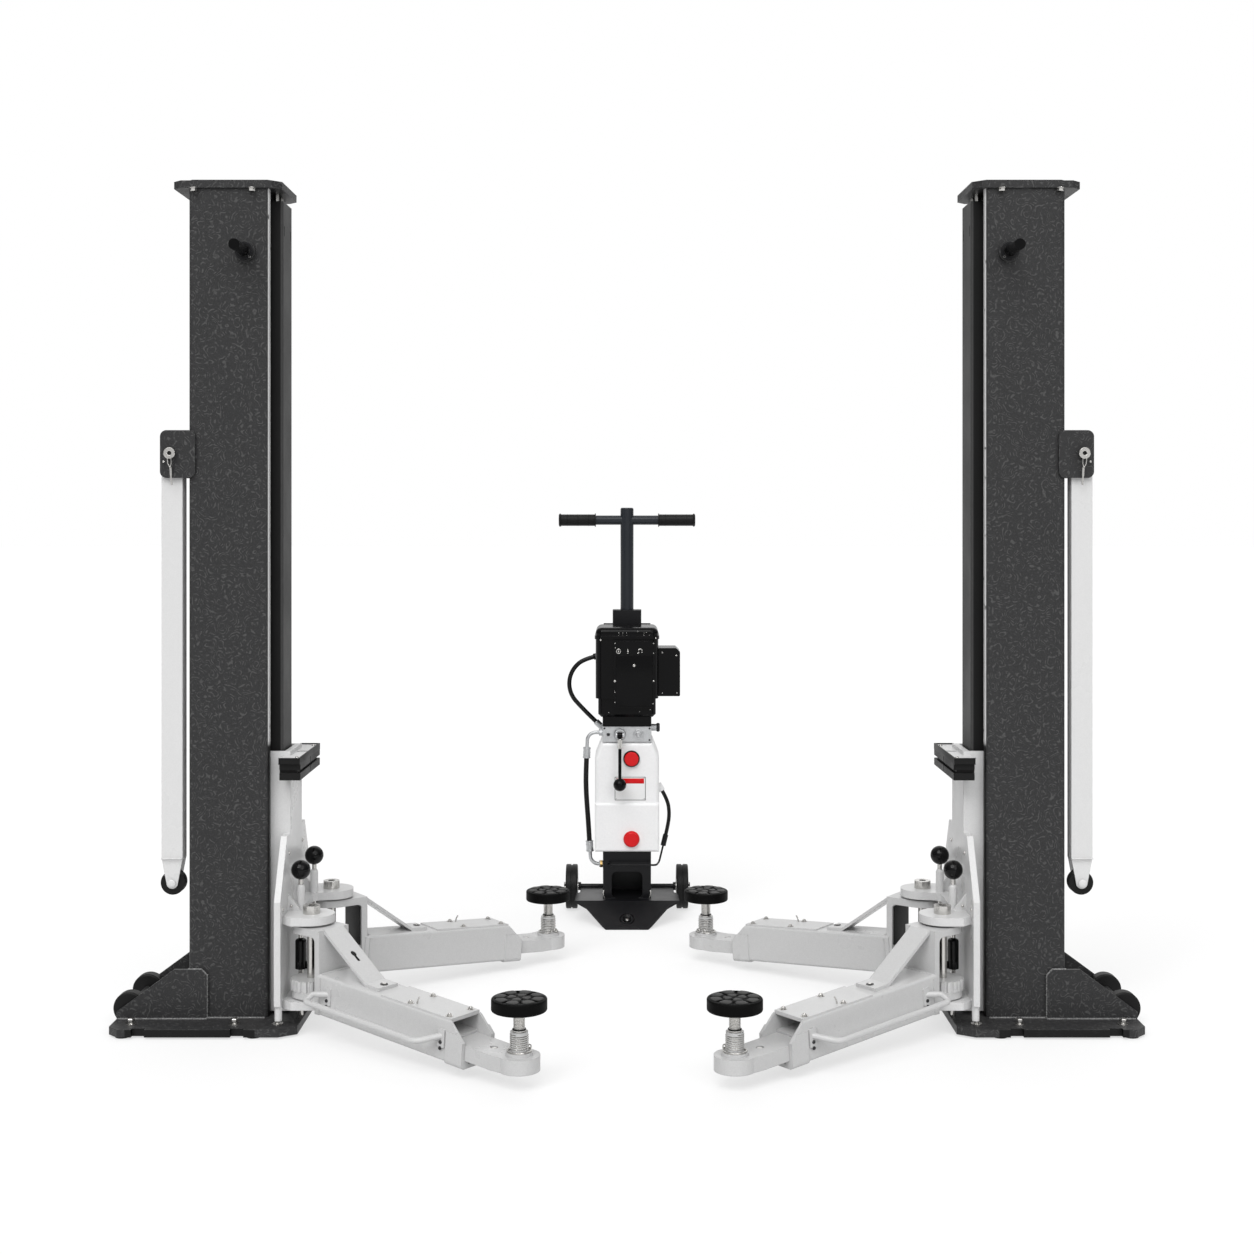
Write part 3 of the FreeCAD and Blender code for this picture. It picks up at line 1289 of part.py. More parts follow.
def tank_caps():
    """Filler cap and drain plug, each a flat knob on a wider collar."""
    front = unit_back_y - tank_depth
    caps = []
    for z, seat in ((tank_cap_upper, front + tank_step), (tank_cap_lower, front)):
        collar_end = seat - tank_cap_ring
        collar = rod(tank_cap_radius, V(tank_cap_x, seat, z), V(tank_cap_x, collar_end, z))
        knob_radius = tank_cap_radius - tank_cap_ring
        knob = rod(knob_radius, V(tank_cap_x, seat, z), V(tank_cap_x, seat - tank_cap_height, z))
        rim = [edge for edge in rims(knob, knob_radius) if edge.BoundBox.YMax < collar_end - 1]
        caps.append(join(collar, knob.makeFillet(tank_cap_ring, rim)))
    return Part.makeCompound(caps)


def lever():
    """Release lever that turns on the fork's pin, with a ball end."""
    pivot = V(lever_x, lever_pivot_y, lever_pivot_z)
    end = pivot + V(0, -lever_lean, -lever_length)
    half_hub = V(lever_hub_width / 2, 0, 0)
    hub = rod(lever_hub_radius, pivot - half_hub, pivot + half_hub)
    arm_and_ball = join(hub, rod(lever_radius, pivot, end), Part.makeSphere(lever_ball_radius, end))
    bore = rod(lever_pin_radius + running_fit, pivot - half_hub - X_AXIS, pivot + half_hub + X_AXIS)
    return arm_and_ball.cut(bore)


def trolley_wheel(side):
    """Wheel with rounded shoulders, a groove round its tread and a recessed hub on both faces."""
    middle = V(side * wheel_track / 2, wheel_back, wheel_radius)
    half_width = V(wheel_width / 2, 0, 0)
    wheel = rod(wheel_radius, middle - half_width, middle + half_width)
    wheel = wheel.makeFillet(wheel_round, rims(wheel, wheel_radius))
    half_gap = V(wheel_tread_gap / 2, 0, 0)
    groove = rod(wheel_radius + 1, middle - half_gap, middle + half_gap)
    groove = groove.cut(rod(wheel_radius - wheel_tread_groove, middle - half_width, middle + half_width))
    cuts = [groove, rod(axle_radius + running_fit, middle - 2 * half_width, middle + 2 * half_width)]
    for end in (-1, 1):
        face = middle + half_width * end
        dish = rod(wheel_radius - wheel_rim, face, face - V(end * wheel_hub_recess, 0, 0))
        hub = rod(wheel_hub_radius, face + half_width, face - half_width)
        cuts.append(dish.cut(hub))
    return wheel.cut(Part.makeCompound(cuts))


def route_bends(points):
    """Radius of the arc at each corner of a hose's route, from the shorter run beside it."""
    bends = []
    for before, corner, after in zip(points, points[1:], points[2:]):
        back = before - corner
        ahead = after - corner
        half_turn = (math.pi - back.getAngle(ahead)) / 2
        bends.append(route_share * min(back.Length, ahead.Length) / math.tan(half_turn))
    return bends


def hose(name, route, y, radius):
    """A hose along its route, with its tightest bend printed in diameters."""
    points = along(route, y)
    bends = route_bends(points)
    print(name, "tightest bend in diameters", round(min(bends) / (2 * radius), 2))
    return tube_along(points, bends, radius)


def trolley():
    """Every piece of the power unit and its trolley, by name, moved behind the posts."""
    pieces = {
        "trolley_frame": trolley_frame(), "handle": handle(), "handle_grips": grips(), "motor": motor(),
        "terminal_box": terminal_box(), "valve_block": valve_block(), "tank": tank(),
        "tank_caps": tank_caps(), "control_lever": lever(),
        "trolley_wheel_left": trolley_wheel(-1), "trolley_wheel_right": trolley_wheel(1),
        "pressure_hose": hose("pressure_hose", pressure_hose_route, hose_y, hose_radius),
        "motor_conduit": hose("motor_conduit", conduit_route, conduit_y, conduit_radius),
        "return_hose": hose("return_hose", return_hose_route, hose_y, return_hose_radius),
    }
    for shape in pieces.values():
        shape.translate(V(0, trolley_back, 0))
    return pieces


def build():
    """All pieces in the final frame."""
    parts = {}
    for name, shape in left_post(True).items():
        parts["left_" + name] = shape
    for name, shape in left_post(False).items():
        parts["right_" + name] = shape.mirror(V(0, 0, 0), X_AXIS)
    parts.update(trolley())
    for shape in parts.values():
        shape.translate(V(0, -set_middle_y, 0))
    return parts


os.makedirs("parts", exist_ok=True)
print("set_middle_y", round(set_middle_y, 6))
for name, shape in build().items():
    if not shape.isValid():
        print("invalid", name)
    print(name, len(shape.Solids), round(shape.Volume / 1000.0, 1))
    shape.exportStep("parts/" + name + ".step")
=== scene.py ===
import json
import math
import bmesh
import bpy
from mathutils import Matrix, Vector


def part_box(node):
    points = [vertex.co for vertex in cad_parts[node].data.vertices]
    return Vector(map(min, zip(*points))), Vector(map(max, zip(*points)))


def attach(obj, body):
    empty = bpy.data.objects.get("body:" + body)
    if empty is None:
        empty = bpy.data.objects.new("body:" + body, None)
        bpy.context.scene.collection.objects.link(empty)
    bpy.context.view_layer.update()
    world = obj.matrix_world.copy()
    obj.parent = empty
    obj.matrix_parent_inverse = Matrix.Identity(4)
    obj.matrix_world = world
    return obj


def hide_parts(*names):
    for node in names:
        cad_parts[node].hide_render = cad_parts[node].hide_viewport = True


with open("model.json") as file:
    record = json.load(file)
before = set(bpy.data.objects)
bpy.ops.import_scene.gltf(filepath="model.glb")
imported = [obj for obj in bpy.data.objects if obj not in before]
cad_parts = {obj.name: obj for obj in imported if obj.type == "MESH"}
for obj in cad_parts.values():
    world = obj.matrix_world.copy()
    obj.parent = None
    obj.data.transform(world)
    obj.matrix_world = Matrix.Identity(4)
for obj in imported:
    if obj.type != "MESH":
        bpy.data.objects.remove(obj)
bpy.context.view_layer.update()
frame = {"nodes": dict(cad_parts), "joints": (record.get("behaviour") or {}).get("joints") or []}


def grey(level):
    """Neutral colour of one level."""
    return (level, level, level)


# The photograph's view, found from its two posts: a level camera in front of the line of the posts.
PHOTO_WIDTH_PX = 1254
FOCAL_PX = 1750
HORIZON_PX = 513
CAMERA_TO_POSTS = 4.439
CAMERA_HEIGHT = 1.273
SENSOR_MM = 36.0

# Colours are linear and are those of the paint, rubber or metal itself, save the painted highlights and
# painted shade noted below.
CHARCOAL = (0.027, 0.027, 0.028)
CHARCOAL_WRINKLE = grey(0.076)
COVER_GREY = grey(0.046)
# Charcoal coat of the welds, lightened as painted highlight on their ripples
WELD_HIGHLIGHT_GREY = grey(0.15)
SILVER = grey(0.545)
CARRIAGE_SILVER = grey(0.63)
LEG_SILVER = grey(0.665)
# Painted highlight on the column's folded lips over the carriage
LIP_PAINTED_HIGHLIGHT = grey(0.66)
STEEL = (0.60, 0.59, 0.57)
WORN_STEEL = (0.35, 0.34, 0.33)
BLACKENED_STEEL = (0.03, 0.03, 0.032)
BRASS = (0.62, 0.42, 0.16)
WORN_BRASS = (0.35, 0.24, 0.10)
ALUMINIUM = (0.56, 0.57, 0.58)
WHEEL_DISC = grey(0.45)
BLACK_PLASTIC = (0.0025, 0.0025, 0.0028)
# Black painted as shade in gaps, pockets and the cover's sides
PAINTED_SHADE_BLACK = grey(0.0012)
SATIN_BLACK = (0.0065, 0.0066, 0.0078)
HANDLE_BLACK = (0.014, 0.017, 0.022)
BLACK_RUBBER = grey(0.0055)
WORN_BLACK = grey(0.05)
TREAD_RUBBER = grey(0.036)
WORN_TREAD = grey(0.09)
PAD_RUBBER = grey(0.0016)
WORN_PAD = grey(0.03)
TANK_WHITE = (0.88, 0.88, 0.885)
PLATE_WHITE = grey(0.84)
# Worn white enamel of the plate, and the painted highlight rubbed onto the welds' ridges
WORN_WHITE_AND_WELD_HIGHLIGHT = grey(0.5)
CAP_RED = (0.66, 0.006, 0.009)
WORN_RED = (0.70, 0.10, 0.09)
DUST = (0.30, 0.28, 0.25)
PRIMER = (0.16, 0.16, 0.165)

FLOOR_SIZE = 120.0
FLOOR_COLOUR = grey(0.64)
FLOOR_GLOW = 0.62
FLOOR_SHADED = grey(0.36)

# Light: the sky is brighter overhead and ahead of and behind the lift than at its sides.
SKY_LEVEL = 0.15
SKY_OVERHEAD = 0.45
SKY_ENDS = 0.45
# Name, strength, tilt from straight above, turn about Z and apparent width, in degrees
LAMPS = (("key", 1.40, 40, -23, 40), ("fill", 0.70, 52, 27, 50), ("back", 0.45, 50, 170, 60),
         ("left window", 0.13, 55, -33, 5), ("right window", 0.10, 73, 26, 4))

SIDES = ("left", "right")
ROWS = ("front", "rear")
JOINTS = {joint["name"]: joint for joint in frame["joints"]}
DOWN, NEAR, LEFT, RIGHT = (0, 0, -1), (0, -1, 0), (-1, 0, 0), (1, 0, 0)

# Routes of the hoses, as in the CAD: points (X, Z) in the upright plane that each one lies in.
PRESSURE_HOSE_ROUTE = (
    (-0.127, 0.504), (-0.129, 0.455), (-0.1285, 0.403), (-0.125, 0.350), (-0.121, 0.297), (-0.118, 0.245))
CONDUIT_ROUTE = (
    (-0.1055, 0.818), (-0.1374, 0.8095), (-0.1644, 0.7881), (-0.1807, 0.7578), (-0.1836, 0.7235),
    (-0.1726, 0.6909), (-0.1485, 0.6642), (-0.1228, 0.6376), (-0.0983, 0.6140))
RETURN_HOSE_ROUTE = ((0.110, 0.402), (0.127, 0.372), (0.133, 0.336), (0.130, 0.299), (0.1215, 0.2635))
HOSE_PLANE_Y = -0.110
CONDUIT_PLANE_Y = -0.070
PRESSURE_HOSE_RADIUS = 0.008
CONDUIT_RADIUS = 0.007
RETURN_HOSE_RADIUS = 0.006

# Heights, reaches and depths at which one CAD piece changes from one finish to another, or to a painted
# highlight or painted shade
LOCK_BALL_BAND = (0.3625, 0.5)
LOCK_FOOT_BAND = (0.138, 0.218)
LIP_FOLD_BAND = (0.8860, 0.8906)
LIP_SIDE_BAND = (0.080, 0.1075)
LIP_SPLIT = 0.70
LIP_BLEND = 0.01
# Size of the breaks in the lips' painted highlight
LIP_HIGHLIGHT_BREAK_SIZE = 0.03
COVER_SIDE_BAND = (0.8662, 0.8705)
COVER_STUD_BAND = (2.0553, 2.0558)
POCKET_ACROSS_BAND = (0.150, 0.2138)
POCKET_ALONG_BAND = (0.900, 1.215)
POCKET_UP_BAND = (-0.010, 0.0236)
AXLE_Y = 0.038
AXLE_Z = 0.070
WHEEL_DISC_RADIUS = 0.0545

# Wrinkled coat: its swirls and the breaks in them, in grains, and the bands to a swirl
SWIRL_SIZE = 11.0
BREAK_SIZE = 4.5
SWIRL_BANDS = 9.0
# How much full dust dulls a surface
DUST_DULLING = 0.4

# Fasteners are (radius, height) for heads, studs and discs and (outer, inner, height) for washers.
# Profiles are (radius, height) points round an axis.
THREAD_SECTION = ((-0.3, -0.42), (1.0, 0.0), (-0.3, 0.42))      # shares of the depth and of the pitch
WELD_RADIUS = 0.0030
WELD_PITCH = 0.007
WELD_RIPPLE = 0.16
SHARP_ANGLE = 38

# Post, measured from the middle of the set in X and from the line of the posts in Y
COLUMN_OUTER_X = -1.086
COLUMN_INNER_X = -0.888
COLUMN_HALF_DEPTH = 0.110
COLUMN_TOP = 2.078
BASE_OUTER_X = -1.260
BASE_TOP = 0.024
ANCHOR_OFFSETS = (0.048, 0.301, 0.406)
ANCHOR_Y = 0.162
ANCHOR_WASHER = (0.0135, 0.005, 0.0022)
ANCHOR_STUD = (0.0062, 0.009)
ANCHOR_NUT = (0.0095, 0.0065)
ANCHOR_NUT_LIFT = 0.008
GUSSET_IN_X = -1.039
GUSSET_OUT_X = -1.256
GUSSET_CORNER = 0.014
GUSSET_TOP = 0.144
GUSSET_SHEET = 0.010
FOOT_WELD_STEP = 0.002
FOOT_WELD_GAP = 0.008
CAP_STUDS_X = (-1.071, -0.928)
CAP_STUD_GAP = 0.003
CAP_WASHER = (0.0105, 0.003, 0.0018)
CAP_NUT = (0.0085, 0.0075)
RELEASE_X = -0.945
RELEASE_Z = 1.920
RELEASE_FACE_Y = -0.122
RELEASE_RINGS = ((0.0225, 0.0155, 0.0030), (0.0110, 0.0072, 0.0110))
RELEASE_SCREW = 0.0042
RELEASE_SCREW_SHIFT = 0.0135

# Leg, its wire ring and its strap. The wire's points are a share of its half width, then X, Y and Z
# from the pin. The strap's are X and Z.
LEG_X = -1.128
LEG_PIN_Z = 1.421
LEG_PIN_FACE_Y = -0.126
LEG_PIN_PROFILE = (
    (0.0050, 0), (0.0144, 0), (0.0144, 0.0020), (0.0132, 0.0034), (0.0062, 0.0034), (0.0050, 0.0024),
    (0.0050, 0))
WIRE_HALF = 0.0045
WIRE_RADIUS = 0.0012
WIRE_POINTS = ((1.0, 0.0, -0.0015, -0.012), (0.9, 0.001, -0.0020, -0.026), (0.0, 0.002, -0.0015, -0.036))
STRAP_POINTS = ((0.0018, -0.034), (0.0028, -0.056), (0.0048, -0.079))
STRAP_HALVES = (0.0026, 0.0020)         # half width of each length
STRAP_BACK = 0.0045
STRAP_HALF_SHEET = 0.0008
BRACKET_SCREW = (-0.0165, 0.008, -0.021)
BRACKET_SCREW_RADIUS = 0.0030
LEG_AXLE_Z = 0.355
LEG_FACE_Y = -0.106
LEG_RIVET_PROFILE = ((0, 0), (0.0105, 0), (0.0105, 0.0016), (0.0088, 0.0030), (0, 0.0036))
LEG_FOLD_Z = 0.417
LEG_FOLD_RADIUS = 0.0018
LEG_HALF_WIDTH = 0.026

# Carriage and its door guard
CARRIER_FACE_X = -0.840
HINGE_TOPS = (0.290, 0.086)
HINGE_WELD_Y = (0.176, 0.062)
HINGE_WELD_RADIUS = 0.0026
CARRIER_SCREWS = ((0.088, 0.428), (0.170, 0.305))       # Y and Z
CARRIER_SCREW = 0.0045
FLANGE_SCREW_PLACE = (-0.829, 0.116, 0.302)
FLANGE_SCREW = 0.0040
GUARD_SCREW_PLACE = (-0.816, 0.112)
GUARD_FRONT_X = -0.804
GUARD_BACK_X = -0.8555
GUARD_RIM_BACK_X = -0.8078
GUARD_HALF = 0.140
GUARD_LOW = 0.6555
GUARD_TOP = 0.668
RIM_LAP = 0.0002
RIM_OUT = 0.0005
RIM_SHEET = 0.0035
RIM_LIFT = 0.0030
RIM_BEVEL = 0.0009

# Arm, measured from its pivot along its box
BOX_START = 0.080
BOX_LOW = 0.064
BOX_HIGH = 0.162
BOX_HALF = 0.050
LID_TOP = 0.165
LID_BOLTS = ((0.494, -0.035), (0.494, 0.035), (0.372, -0.037), (0.372, 0.037))
LID_BOLT = 0.0062
LID_PIN = (0.386, -0.030)
LID_PIN_POINTS = ((0.0, 0.0, -0.001), (0.002, 0.0, 0.009), (0.006, 0.001, 0.017))
LID_PIN_RADIUS = 0.0019
BRACE_BOLT_X = 0.246
BRACE_TOP = 0.1700
BRACE_HEAD = (0.0056, 0.0030)
BRACE_WASHER = (0.0092, 0.0050, 0.0012)
TAB_FACE = 0.054
TAB_PLACES = (0.110, 0.488)
TAB_SCREW_HEIGHTS = (0.108, 0.094)
TAB_SCREW = 0.0044
# Keyhole in the front arms' brace, filled with a black plug as painted shade
KEY_X = 0.1491
KEY_RADIUS = 0.0069
KEY_SLOT = 0.0039
KEY_LENGTH = 0.0199
KEY_DEPTHS = (0.0010, 0.0070)
KEY_STEPS = 24
BRACE_HIGH = 0.2650
BRACE_FALL = 0.7346
COLLAR_START = 0.503
COLLAR_HIGH = 0.136
# Runs of weld on each side of the box: X, low, high and bead radius
ARM_WELDS = (
    (COLLAR_START, BOX_LOW + 0.004, COLLAR_HIGH, 0.0020),
    (BOX_START + 0.001, BOX_LOW + 0.008, BOX_HIGH - 0.007, 0.0022))
ARM_WELD_PROUD = 0.0002
TOP_WELD_X = BOX_START + 0.001
TOP_WELD_HALF = BOX_HALF - 0.006
TOP_WELD_RADIUS = 0.0026
# Black sheet on the strap's inner face, put there as painted shade
SHADE_SHEET_LOW = (0.0612, -0.041, 0.139)
SHADE_SHEET_HIGH = (0.0642, 0.041, 0.241)
SHADE_SHEET_BEVEL = 0.0012
LUG_NUT_PLACE = (0.040, -0.024, 0.247)
LUG_NUT = (0.0070, 0.0085)
# Black block in the gap under the extension at the collar's mouth, put there as painted shade
MOUTH_SHADE_LOW = (0.5505, -0.0290, 0.0697)
MOUTH_SHADE_HIGH = (0.5540, 0.0290, 0.0786)
MOUTH_SHADE_BEVEL = 0.0008

# Pad on its screw and sleeve
PAD_REACH = 0.680
STOP_X = 0.605
STOP_FLOOR = 0.0682
STOP_PROFILE = ((0, 0), (0.0066, 0), (0.0066, 0.0040), (0.0058, 0.0048), (0, 0.0048))
SLEEVE_RADIUS = 0.020
SLEEVE_LOW = 0.0721
SLEEVE_HIGH = 0.1241
SLEEVE_THREAD = (0.0014, 0.0046)        # depth and pitch
SLEEVE_THREAD_ENDS = (0.011, 0.005)     # smooth lengths below and above
SLEEVE_RIM_PROFILE = ((0.0132, 0.0), (0.0188, 0.0), (0.0166, 0.0016), (0.0132, 0.0016), (0.0132, 0.0))
SLEEVE_RIM_DROP = 0.0014
CLIP_RADIUS = 0.0262
CLIP_WIRE = 0.0024
CLIP_LOW = SLEEVE_LOW + 0.0078
CLIP_LIFT = 0.0012
CLIP_END_LIFT = 0.0030
CLIP_TURNS = (112, 428)                 # first and last, in degrees
CLIP_STEPS = 24
EYE_RADIUS = 0.0042
EYE_LIFT = 0.0035
EYE_WIRE = 0.0016
SCREW_RADIUS = 0.0125
SCREW_THREAD = (0.0008, 0.0032)         # depth and pitch
SEAL_LOW = 0.1274
SEAL_PROFILE = (
    (0.0128, 0.0), (0.0152, 0.0), (0.0158, 0.0012), (0.0152, 0.0026), (0.0128, 0.0026), (0.0128, 0.0))
FLANGE_LOW = 0.165
PAD_TOP = 0.198
PAD_LOBES = 8
LOBE_STEPS = 28
LOBE_HEIGHT = 0.0022
LOBE_SHRINK = 0.0012
LOBE_SQUARENESS = 0.55
LOBE_LEAST_RADIUS = 0.004
# Inner and outer radius, half turn in degrees and depth below the pad's face
OUTER_LOBE = (0.0315, 0.0555, 16.5, 0.0010)
INNER_LOBE = (0.0070, 0.0262, 30, 0.0028)

# Trolley, measured from its back panel
TROLLEY_Y = 0.839075
COVER_FACE_Y = -0.2003
MOTOR_FACE_Y = -0.1903
BLOCK_FACE_Y = -0.1703
TANK_FACE_Y = -0.1703
TERMINAL_FACE_Y = -0.1503
# Layers are X and Z of two corners, Y of front and back from the face under them, and bevel.
PLATE_SHEET = 0.0016
MOTOR_PLATE = ((-0.034, 0.676), (0.079, 0.834), -PLATE_SHEET, 0.0, 0.0014)
# Screws and small marks that face the front: the Y of their seat, then X, Z and radius
MOTOR_SCREWS = (
    (COVER_FACE_Y, ((-0.037, 0.870, 0.0018), (-0.036, 0.857, 0.0016), (-0.0375, 0.754, 0.0040),
                    (-0.0375, 0.720, 0.0016), (-0.0375, 0.688, 0.0018), (0.082, 0.870, 0.0020),
                    (0.082, 0.840, 0.0018), (0.082, 0.754, 0.0030), (0.080, 0.684, 0.0018),
                    (-0.026, 0.846, 0.0026), (0.0026, 0.851, 0.0019), (0.0026, 0.846, 0.0028),
                    (0.0026, 0.840, 0.0017), (0.035, 0.841, 0.0026))),
    (COVER_FACE_Y - PLATE_SHEET, ((0.022, 0.802, 0.0048),)),
    (MOTOR_FACE_Y - 0.003, ((-0.081, 0.880, 0.0028), (0.089, 0.886, 0.0024))),
    (MOTOR_FACE_Y + 0.0085, ((0.039, 0.658, 0.0016), (-0.056, 0.655, 0.0016), (0.072, 0.664, 0.0018))),
    (MOTOR_FACE_Y + 0.0004, ((-0.025, 0.9015, 0.0013), (-0.013, 0.9015, 0.0013), (-0.001, 0.9015, 0.0013),
                             (-0.025, 0.8945, 0.0013), (-0.013, 0.8945, 0.0013), (-0.001, 0.8945, 0.0013),
                             (0.033, 0.9060, 0.0013), (0.053, 0.9015, 0.0013), (0.060, 0.9030, 0.0013),
                             (0.052, 0.8945, 0.0013), (0.069, 0.8950, 0.0013))),
    (TERMINAL_FACE_Y, ((0.110, 0.8375, 0.0026), (0.154, 0.829, 0.0026), (0.110, 0.712, 0.0018),
                       (0.156, 0.712, 0.0018))),
)
# Ring and hook of the switches: middle X and Z, half width and height, wire, turns in degrees, closed
SWITCH_WIRES = (
    (-0.026, 0.846, 0.0062, 0.0070, 0.0012, range(0, 360, 18), True),
    (0.041, 0.847, 0.0060, 0.0060, 0.0014, range(-60, 181, 20), False))
SWITCH_WIRE_OUT = 0.0015

# Valve block and its fittings
BLOCK_HEIGHT = 0.586
PLUG_FACE_Y = BLOCK_FACE_Y - 0.006
KNOB_X = -0.022
# Ribs of a knob: their count and one rib's two corners
KNOB_RIBS = (30, (0.0165, -0.0010, 0.0015), (0.0182, 0.0010, 0.0145))
SIDE_KNOB_RIBS = (16, (0.0126, -0.0012, -0.0040), (0.0138, 0.0012, 0.0020))
RIB_BEVEL = 0.0003
PLUG_X = 0.036
PLUG_WASHER = (0.0148, 0.0118, 0.0018)
PLUG_HEX = (0.0100, 0.0040)
PLUG_RING = (0.0068, 0.0045, 0.0022)
PLUG_RING_LIFT = 0.0038
SMALL_PLUG_X = -0.058
SMALL_PLUG = 0.0052
BLOCK_SCREWS = ((-0.070, 0.604), (0.070, 0.604), (0.070, 0.568))
BLOCK_SCREW = 0.0030
SIDE_KNOB_PLACE = (0.0985, -0.1003, 0.599)
SIDE_KNOB_PROFILE = ((0, 0), (0.0122, 0), (0.0130, 0.0020), (0.0130, 0.0085), (0.0118, 0.0105), (0, 0.0105))
SIDE_KNOB_BACK = 0.006
# Crimps of the hose's two ends: (way along, outer radius)
UPPER_CRIMPS = ((0.002, 0.0124), (0.010, 0.0118), (0.018, 0.0118), (0.031, 0.0124))
LOWER_CRIMPS = ((0.002, 0.0122), (0.012, 0.0118), (0.031, 0.0122))
CRIMP_BORE = 0.0100
CRIMP_LENGTH = 0.0026
PIPE_NUT_PLACE = (-0.0775, HOSE_PLANE_Y, 0.584)
PIPE_NUT = (0.0112, 0.0090)
BRASS_NUT_PLACE = (-0.0765, HOSE_PLANE_Y, 0.172)
BRASS_NUT = (0.0118, 0.0085)

# Tank's cap ring and plate
CAP_RING_PLACE = (0.014, TANK_FACE_Y, 0.510)
CAP_RING_PROFILE = (
    (0.0223, 0), (0.0256, 0), (0.0256, 0.0052), (0.0245, 0.0068), (0.0232, 0.0068), (0.0223, 0.0058),
    (0.0223, 0))
PLATE_EDGE = ((-0.038, 0.3810), (0.058, 0.4535), -0.0009, 0.001, 0.0004)
PLATE_FACE = ((-0.0365, 0.3825), (0.0565, 0.4520), -0.0013, 0.0, 0.0002)
PLATE_BAND = ((-0.033, 0.4330), (0.053, 0.4490), -0.0016, -0.001, 0.0001)
PLATE_RIVETS_X = (-0.0335, 0.0535)
PLATE_RIVETS_Z = (0.3855, 0.4500)
PLATE_RIVET = 0.0012

# Lever, grips, axle and tongue
LEVER_PIVOT = (-0.022, -0.1956, 0.586)
LEVER_END = (-0.022, -0.2156, 0.436)
LEVER_NECK_PROFILE = (
    (0.0049, 0.0125), (0.0074, 0.0125), (0.0080, 0.0145), (0.0074, 0.0165), (0.0068, 0.0400),
    (0.0060, 0.0420), (0.0049, 0.0420), (0.0049, 0.0125))
GRIP_END_PLACE = (0.2185, 0.034, 1.250)
GRIP_END_PROFILE = (
    (0, -0.001), (0.0170, -0.001), (0.0205, 0.0010), (0.0214, 0.0030), (0.0205, 0.0055), (0.0184, 0.0070),
    (0.0170, 0.0070), (0, 0.0010))
GRIP_RIBS = (0.026, 0.060, 0.094)
GRIP_RIB = (0.0190, 0.0170, 0.0014)
AXLE_OUTER_X = 0.1963
AXLE_INNER_X = 0.1590
AXLE_NUT = (0.0135, 0.0066)
AXLE_WASHER = (0.0150, 0.0085, 0.0020)
AXLE_WASHER_GAP = 0.0003
CRADLE_CLIP = (
    (0.0700, -0.1335, 0.0680), (0.0725, -0.1345, 0.0760), (0.0745, -0.1350, 0.0860),
    (0.0720, -0.1360, 0.0950))
CRADLE_CLIP_WIRE = 0.0022
TONGUE_FALL = 0.062
TONGUE_RUN = 0.097
TONGUE_BOLT_PLACE = (0, -0.2297, 0.0236)
TONGUE_BOLT_LIFT = 0.0005
TONGUE_CUP_PROFILE = (
    (0.0190, 0.0020), (0.0204, 0.0028), (0.0222, 0.0030), (0.0236, 0.0022), (0.0236, 0.0012),
    (0.0188, -0.0030), (0, -0.0035), (0, -0.0020), (0.0140, -0.0015), (0.0190, 0.0020))
TONGUE_BOLT_PROFILE = ((0, -0.0020), (0.0050, -0.0020), (0.0050, 0), (0.0036, 0.0016), (0, 0.0022))


def mid(node):
    """Middle of a CAD node's box."""
    low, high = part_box(node)
    return (Vector(low) + Vector(high)) / 2


def make_camera():
    """Level camera at the photograph's place, with the horizon set by its shift."""
    lens = bpy.data.cameras.new("photo camera")
    lens.sensor_width = SENSOR_MM
    lens.lens = FOCAL_PX / PHOTO_WIDTH_PX * SENSOR_MM
    lens.shift_y = (HORIZON_PX - PHOTO_WIDTH_PX / 2) / PHOTO_WIDTH_PX
    lens.dof.use_dof = False
    camera = bpy.data.objects.new("photo camera", lens)
    camera.location = (0, mid("left_column").y - CAMERA_TO_POSTS, CAMERA_HEIGHT)
    camera.rotation_euler = (math.radians(90), 0, 0)
    bpy.context.scene.collection.objects.link(camera)
    bpy.context.scene.camera = camera


def at(x, y, z):
    """Matrix of a piece that stands upright at a place."""
    return Matrix.Translation((x, y, z))


def aimed(place, direction):
    """Matrix that puts a piece drawn along +Z at a place, facing a direction."""
    turn = Vector(direction).to_track_quat("Z", "Y").to_matrix().to_4x4()
    return Matrix.Translation(place) @ turn


def turns(steps):
    """Even turns round a circle, in radians."""
    return [2 * math.pi * step / steps for step in range(steps)]


def polar(radius, turn, height):
    """Point at a radius and a turn about Z."""
    return Vector((radius * math.cos(turn), radius * math.sin(turn), height))


def arc(centre, wide, high, degrees):
    """Points round a centre in the upright plane along X, at the given turns."""
    x, y, z = centre
    radians = [math.radians(turn) for turn in degrees]
    return [(x + wide * math.cos(turn), y, z + high * math.sin(turn)) for turn in radians]


def add_skin(mesh, rings, closed=False):
    """Faces between rings of as many corners, with flat ends unless the rings close on themselves."""
    pairs = list(zip(rings, rings[1:]))
    if closed:
        pairs.append((rings[-1], rings[0]))
    for low, high in pairs:
        for step in range(len(low)):
            onward = (step + 1) % len(low)
            mesh.faces.new([low[step], low[onward], high[onward], high[step]])
    if not closed:
        mesh.faces.new(list(reversed(rings[0])))
        mesh.faces.new(rings[-1])


